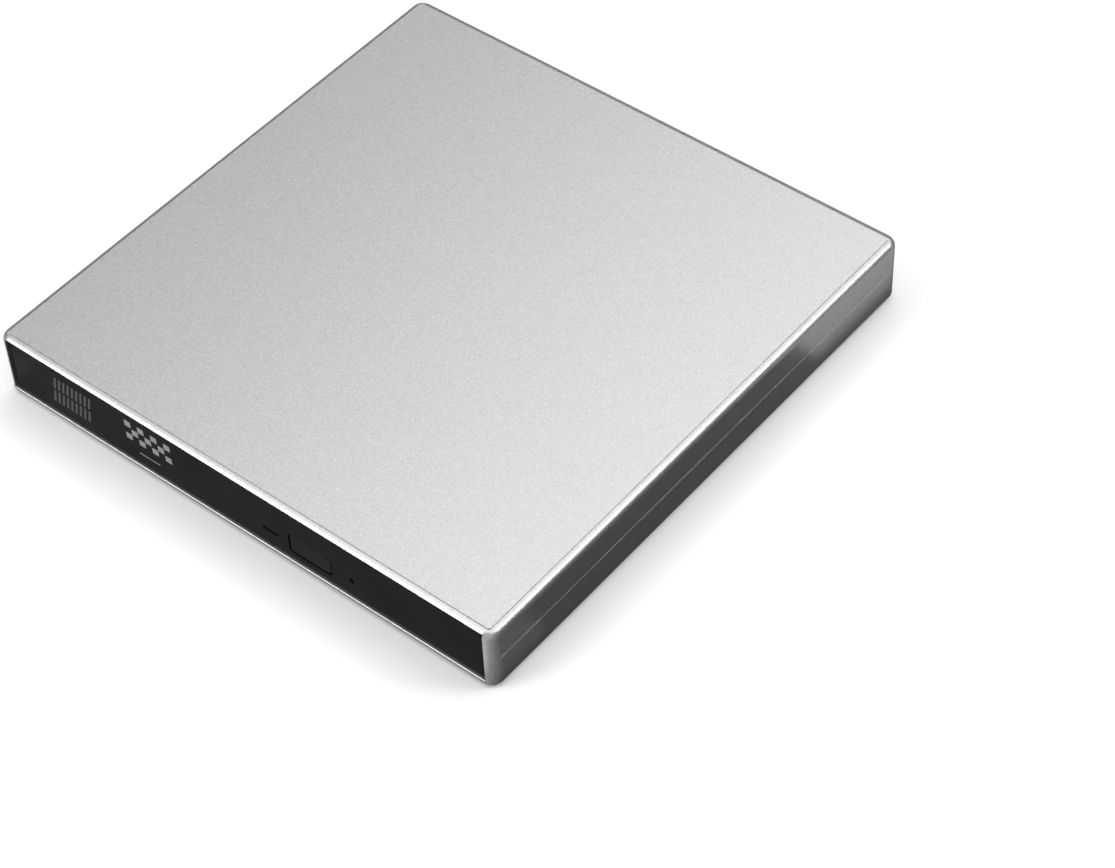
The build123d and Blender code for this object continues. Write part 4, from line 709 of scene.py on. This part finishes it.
def surface_parts(name, body, board, x_range, y_range, busy, count):
    """Small resistors and capacitors scattered over the free places of a board."""
    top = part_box(board)[1].z
    taken = []
    for node in busy:
        taken += [(low.x, low.y, high.x, high.y) for low, high in solids(node)]
    bm = bmesh.new()
    placed, tries = 0, 0
    while placed < count and tries < MOST_TRIES:
        tries += 1
        length, width, height = random.choice(SMALL_SIZES)
        half_l, half_w = length * MM / 2, width * MM / 2
        if random.random() < 0.5:
            half_x, half_y = half_l, half_w
        else:
            half_x, half_y = half_w, half_l
        x, y = random.uniform(*x_range), random.uniform(*y_range)
        spot = (x - half_x, y - half_y, x + half_x, y + half_y)
        if is_free(spot, taken):
            taken.append(tuple(edge + sign * ROOM_TAKEN_BACK for edge, sign in zip(spot, (1, 1, -1, -1))))
            placed += 1
            small_part(bm, x, y, top, half_x, half_y, height * MM)
    new_piece(name, bm, body, "chip_epoxy", MATERIALS["chip_epoxy"], MATERIALS["solder"])


def small_part(bm, x, y, z, half_x, half_y, height):
    """A ceramic body with a soldered cap at each end."""
    long_x = half_x > half_y
    inner = 1.0 - CAP_SHARE
    if long_x:
        body_x, body_y = half_x * inner, half_y * BODY_SHARE
    else:
        body_x, body_y = half_x * BODY_SHARE, half_y * inner
    low = Vector((x - body_x, y - body_y, z))
    high = Vector((x + body_x, y + body_y, z + height * BODY_SHARE))
    box_form(bm, low, high, BODY_EASE)
    for side in (-1, 1):
        if long_x:
            edges = sorted((x + side * half_x, x + side * half_x * inner))
            low, high = Vector((edges[0], y - half_y, z)), Vector((edges[1], y + half_y, z + height))
        else:
            edges = sorted((y + side * half_y, y + side * half_y * inner))
            low, high = Vector((x - half_x, edges[0], z)), Vector((x + half_x, edges[1], z + height))
        box_form(bm, low, high, CAP_EASE, material_index=1)


def populate_boards():
    low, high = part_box("bridge_board")
    x_range = (low.x + BOARD_EDGE, high.x - BOARD_EDGE)
    y_range = (low.y + BOARD_EDGE, high.y - BOARD_EDGE)
    surface_parts(
        "bridge_board_parts", "case", "bridge_board", x_range, y_range, BUSY_ON_BRIDGE_BOARD, BRIDGE_PARTS,
    )
    low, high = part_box("main_board")
    wide_part_end = low.x + MAIN_BOARD_WIDE_PART
    x_range = (low.x + BOARD_EDGE, wide_part_end - BOARD_EDGE)
    y_range = (low.y + MAIN_BOARD_FRONT_EDGE, high.y - BOARD_EDGE)
    surface_parts(
        "main_board_parts", "tray", "main_board", x_range, y_range, BUSY_ON_MAIN_BOARD, MAIN_PARTS,
    )
    chip_leads("bridge_chip", "case")
    chip_leads("main_chips", "tray")


# --- Ejector spring -----------------------------------------------------------------------
WIRE_R, WIRE_SIDES = 0.16 * MM, 8
SPRING_TURNS, STEPS_PER_TURN = 6, 20
GAP_AT_MOUTH, GAP_AT_NOSE = 0.2 * MM, 0.5 * MM


def wire(bm, points, radius):
    """A round wire along a line of points."""
    rings = []
    for index, point in enumerate(points):
        before, after = points[max(index - 1, 0)], points[min(index + 1, len(points) - 1)]
        turn = (after - before).to_track_quat("Z", "Y")
        spots = circle_points(lambda angle: radius, 0.0, WIRE_SIDES)
        rings.append(ring(bm, [point + turn @ Vector(spot) for spot in spots]))
    skin(bm, rings)


def ejector_spring():
    """The spring that drives the tray out, between the barrel and the plunger's nose."""
    low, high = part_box("ejector_plunger")
    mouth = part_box("ejector_barrel")[1].y
    middle, radius = (low + high) / 2, (high.x - low.x) / 2
    start, end = mouth + GAP_AT_MOUTH, high.y - GAP_AT_NOSE
    reach, steps = radius + WIRE_R, SPRING_TURNS * STEPS_PER_TURN
    points = []
    for step in range(steps + 1):
        angle = 2.0 * math.pi * step / STEPS_PER_TURN
        y = start + (end - start) * step / steps
        points.append(Vector((middle.x + reach * math.cos(angle), y, middle.z + reach * math.sin(angle))))
    bm = bmesh.new()
    wire(bm, points, WIRE_R)
    new_piece("ejector_spring", bm, "tray", "bright_steel", MATERIALS["bright_steel"])


hatched_mark()
chequered_mark()
make_screws()
threaded_lead_screw()
populate_boards()
ejector_spring()

# --- Stage --------------------------------------------------------------------------------
FLOOR_REACH, FLOOR_DARK, FLOOR_LIGHT, FLOOR_ROUGHNESS = 4.0, 0.72, 0.74, 0.9

# The world is WORLD_ABOVE bright overhead, with a glow of WORLD_GLOW low at the front right. Below the
# horizon it is about WORLD_BELOW, darker toward the back right, and WORLD_STEP darker or lighter on the
# two sides of a steepness of WORLD_STEP_DOWN.
WORLD_ABOVE, WORLD_BELOW, WORLD_BELOW_SLOPE = 0.14, 0.26, 0.28
WORLD_STEEPNESS, WORLD_STEP, WORLD_STEP_DOWN = 1.4, 0.12, 0.74
WORLD_GLOW, GLOW_START, GLOW_FULL = 1.1, 0.72, 0.92
GLOW_TOWARD_RIGHT, GLOW_TOWARD_FRONT = 0.6, 0.8
HORIZON_START, HORIZON_END = -0.2, 0.1

# Strips of one overhead panel, from left to right: name, x from and to, radiance
OVERHEAD_STRIPS = (
    ("overhead_left", -1.55, -0.76, 0.5),
    ("overhead_middle", -0.76, -0.10, 2.45),
    ("overhead_right", -0.10, 0.55, 1.6),
    ("overhead_far_right", 0.55, 1.15, 2.2),
)
OVERHEAD_LENGTH, OVERHEAD_Y, OVERHEAD_HEIGHT = 2.5, 0.5, 1.2

# Square softboxes: name, azimuth and elevation in degrees, distance, side, radiance
SOFTBOXES = (
    ("front_left", 329.0, 33.0, 1.3, 0.7, 6.2),
    ("back_right", 125.0, 38.0, 1.3, 0.5, 6.2),
)

# The pale floor as cards, measured from the case's walls. Those at the near corner reach CORNER_REACH
# out and get dimmer from the front, past CORNER_MIDDLE, to CORNER_REAR along the right wall.
CARD_HEIGHT = 0.2 * MM
CORNER_REACH, CORNER_GAP, CORNER_LEFT = 60 * MM, 3 * MM, 6.5 * MM
CORNER_FRONT, CORNER_MIDDLE, CORNER_REAR = 5 * MM, 6 * MM, 20 * MM
REAR_REACH, REAR_GAP, REAR_START_SHARE, REAR_BEHIND = 90 * MM, 4 * MM, 0.62, 140 * MM
LEFT_REACH, LEFT_GAP, LEFT_FRONT, LEFT_REAR = 70 * MM, 0.5 * MM, 4 * MM, 40 * MM


def make_floor():
    bm = bmesh.new()
    bmesh.ops.create_grid(bm, x_segments=1, y_segments=1, size=FLOOR_REACH)
    mesh = bpy.data.meshes.new("floor")
    bm.to_mesh(mesh)
    bm.free()
    floor = bpy.data.objects.new("floor", mesh)
    bpy.context.scene.collection.objects.link(floor)
    paint = Paint("floor_paper")
    paint.colour(paint.tones(paint.noise(400.0), grey(FLOOR_DARK), grey(FLOOR_LIGHT)))
    paint.shader.inputs["Roughness"].default_value = FLOOR_ROUGHNESS
    mesh.materials.append(paint.material)
    floor.visible_glossy = False


def softbox(name, azimuth, elevation, distance, size, radiance):
    """A square area light at a compass azimuth (0 is the front, 90 the right) that faces the drive."""
    a, e = math.radians(azimuth), math.radians(elevation)
    away = Vector((math.sin(a) * math.cos(e), -math.cos(a) * math.cos(e), math.sin(e)))
    lamp = area_lamp(name, (size, size), radiance)
    lamp.location = away * distance
    lamp.rotation_mode = "QUATERNION"
    lamp.rotation_quaternion = away.to_track_quat("Z", "Y")


def area_lamp(name, size, radiance):
    data = bpy.data.lights.new(name, "AREA")
    data.shape = "RECTANGLE"
    data.size, data.size_y = size
    data.energy = radiance * math.pi * size[0] * size[1]
    lamp = bpy.data.objects.new(name, data)
    bpy.context.scene.collection.objects.link(lamp)
    return lamp


def make_world():
    """A dim studio whose brightness depends on the direction."""
    world = bpy.data.worlds.new("studio")
    world.use_nodes = True
    tree = world.node_tree

    def number(operation, *values):
        node = tree.nodes.new("ShaderNodeMath")
        node.operation = operation
        for socket, value in zip(node.inputs, values):
            if isinstance(value, bpy.types.NodeSocket):
                tree.links.new(value, socket)
            else:
                socket.default_value = value
        return node.outputs[0]

    direction = tree.nodes.new("ShaderNodeSeparateXYZ")
    tree.links.new(tree.nodes.new("ShaderNodeTexCoord").outputs["Generated"], direction.inputs[0])
    x, y, z = direction.outputs
    toward_back_right = number("MULTIPLY", number("ADD", x, y), -WORLD_BELOW_SLOPE)
    ramp = number("MULTIPLY_ADD", z, WORLD_STEEPNESS, WORLD_STEP_DOWN * WORLD_STEEPNESS)
    step = number("MINIMUM", number("MAXIMUM", ramp, -WORLD_STEP), WORLD_STEP)
    below = number("ADD", number("ADD", toward_back_right, WORLD_BELOW), step)
    blend = tree.nodes.new("ShaderNodeMapRange")
    blend.inputs["From Min"].default_value = HORIZON_START
    blend.inputs["From Max"].default_value = HORIZON_END
    tree.links.new(z, blend.inputs["Value"])
    level = tree.nodes.new("ShaderNodeMix")
    tree.links.new(blend.outputs["Result"], level.inputs["Factor"])
    tree.links.new(below, level.inputs["A"])
    rightward, rearward = number("MULTIPLY", x, GLOW_TOWARD_RIGHT), number("MULTIPLY", y, GLOW_TOWARD_FRONT)
    front_right = number("SUBTRACT", rightward, rearward)
    glow = tree.nodes.new("ShaderNodeMapRange")
    glow.inputs["From Min"].default_value = GLOW_START
    glow.inputs["From Max"].default_value = GLOW_FULL
    glow.inputs["To Min"].default_value = WORLD_ABOVE
    glow.inputs["To Max"].default_value = WORLD_GLOW
    tree.links.new(front_right, glow.inputs["Value"])
    tree.links.new(glow.outputs["Result"], level.inputs["B"])
    background = tree.nodes["Background"]
    background.inputs["Color"].default_value = (1.0, 1.0, 1.0, 1.0)
    tree.links.new(level.outputs[0], background.inputs["Strength"])
    bpy.context.scene.world = world
    bpy.context.scene.view_settings.view_transform = "Standard"


def make_light():
    make_world()
    for name, x0, x1, radiance in OVERHEAD_STRIPS:
        strip = area_lamp(name, (x1 - x0, OVERHEAD_LENGTH), radiance)
        strip.location = ((x0 + x1) / 2, OVERHEAD_Y, OVERHEAD_HEIGHT)
    for row in SOFTBOXES:
        softbox(*row)


def floor_reflection(name, x0, x1, y0, y1, radiance):
    """Pale floor that shows only in the case's own reflections, as a card lying face up."""
    lamp = area_lamp(name, (x1 - x0, y1 - y0), radiance)
    lamp.location = ((x0 + x1) / 2, (y0 + y1) / 2, CARD_HEIGHT)
    lamp.rotation_euler = (math.pi, 0.0, 0.0)
    lamp.visible_camera = False
    lamp.visible_diffuse = False


def make_floor_reflections():
    """Cards beside the rear of the right wall, round the near corner in dimmer steps, and at the left."""
    low, high = cad_box
    rear_x = (high.x + REAR_GAP, high.x + REAR_REACH)
    rear_y = (high.y * REAR_START_SHARE, high.y + REAR_BEHIND)
    floor_reflection("floor_rear", *rear_x, *rear_y, radiance=0.5)
    front_y = (low.y - CORNER_REACH, low.y - CORNER_FRONT)
    floor_reflection("floor_near_left", high.x - CORNER_LEFT, high.x, *front_y, radiance=0.6)
    floor_reflection("floor_near_front", high.x, high.x + CORNER_REACH, *front_y, radiance=0.2)
    side_x = (high.x + CORNER_GAP, high.x + CORNER_REACH)
    floor_reflection("floor_near", *side_x, low.y - CORNER_FRONT, low.y + CORNER_MIDDLE, radiance=0.12)
    floor_reflection("floor_near_side", *side_x, low.y + CORNER_MIDDLE, low.y + CORNER_REAR, radiance=0.08)
    left_x = (low.x - LEFT_REACH, low.x - LEFT_GAP)
    floor_reflection("floor_left", *left_x, low.y - LEFT_FRONT, low.y + LEFT_REAR, radiance=0.9)


make_floor()
make_light()
make_floor_reflections()
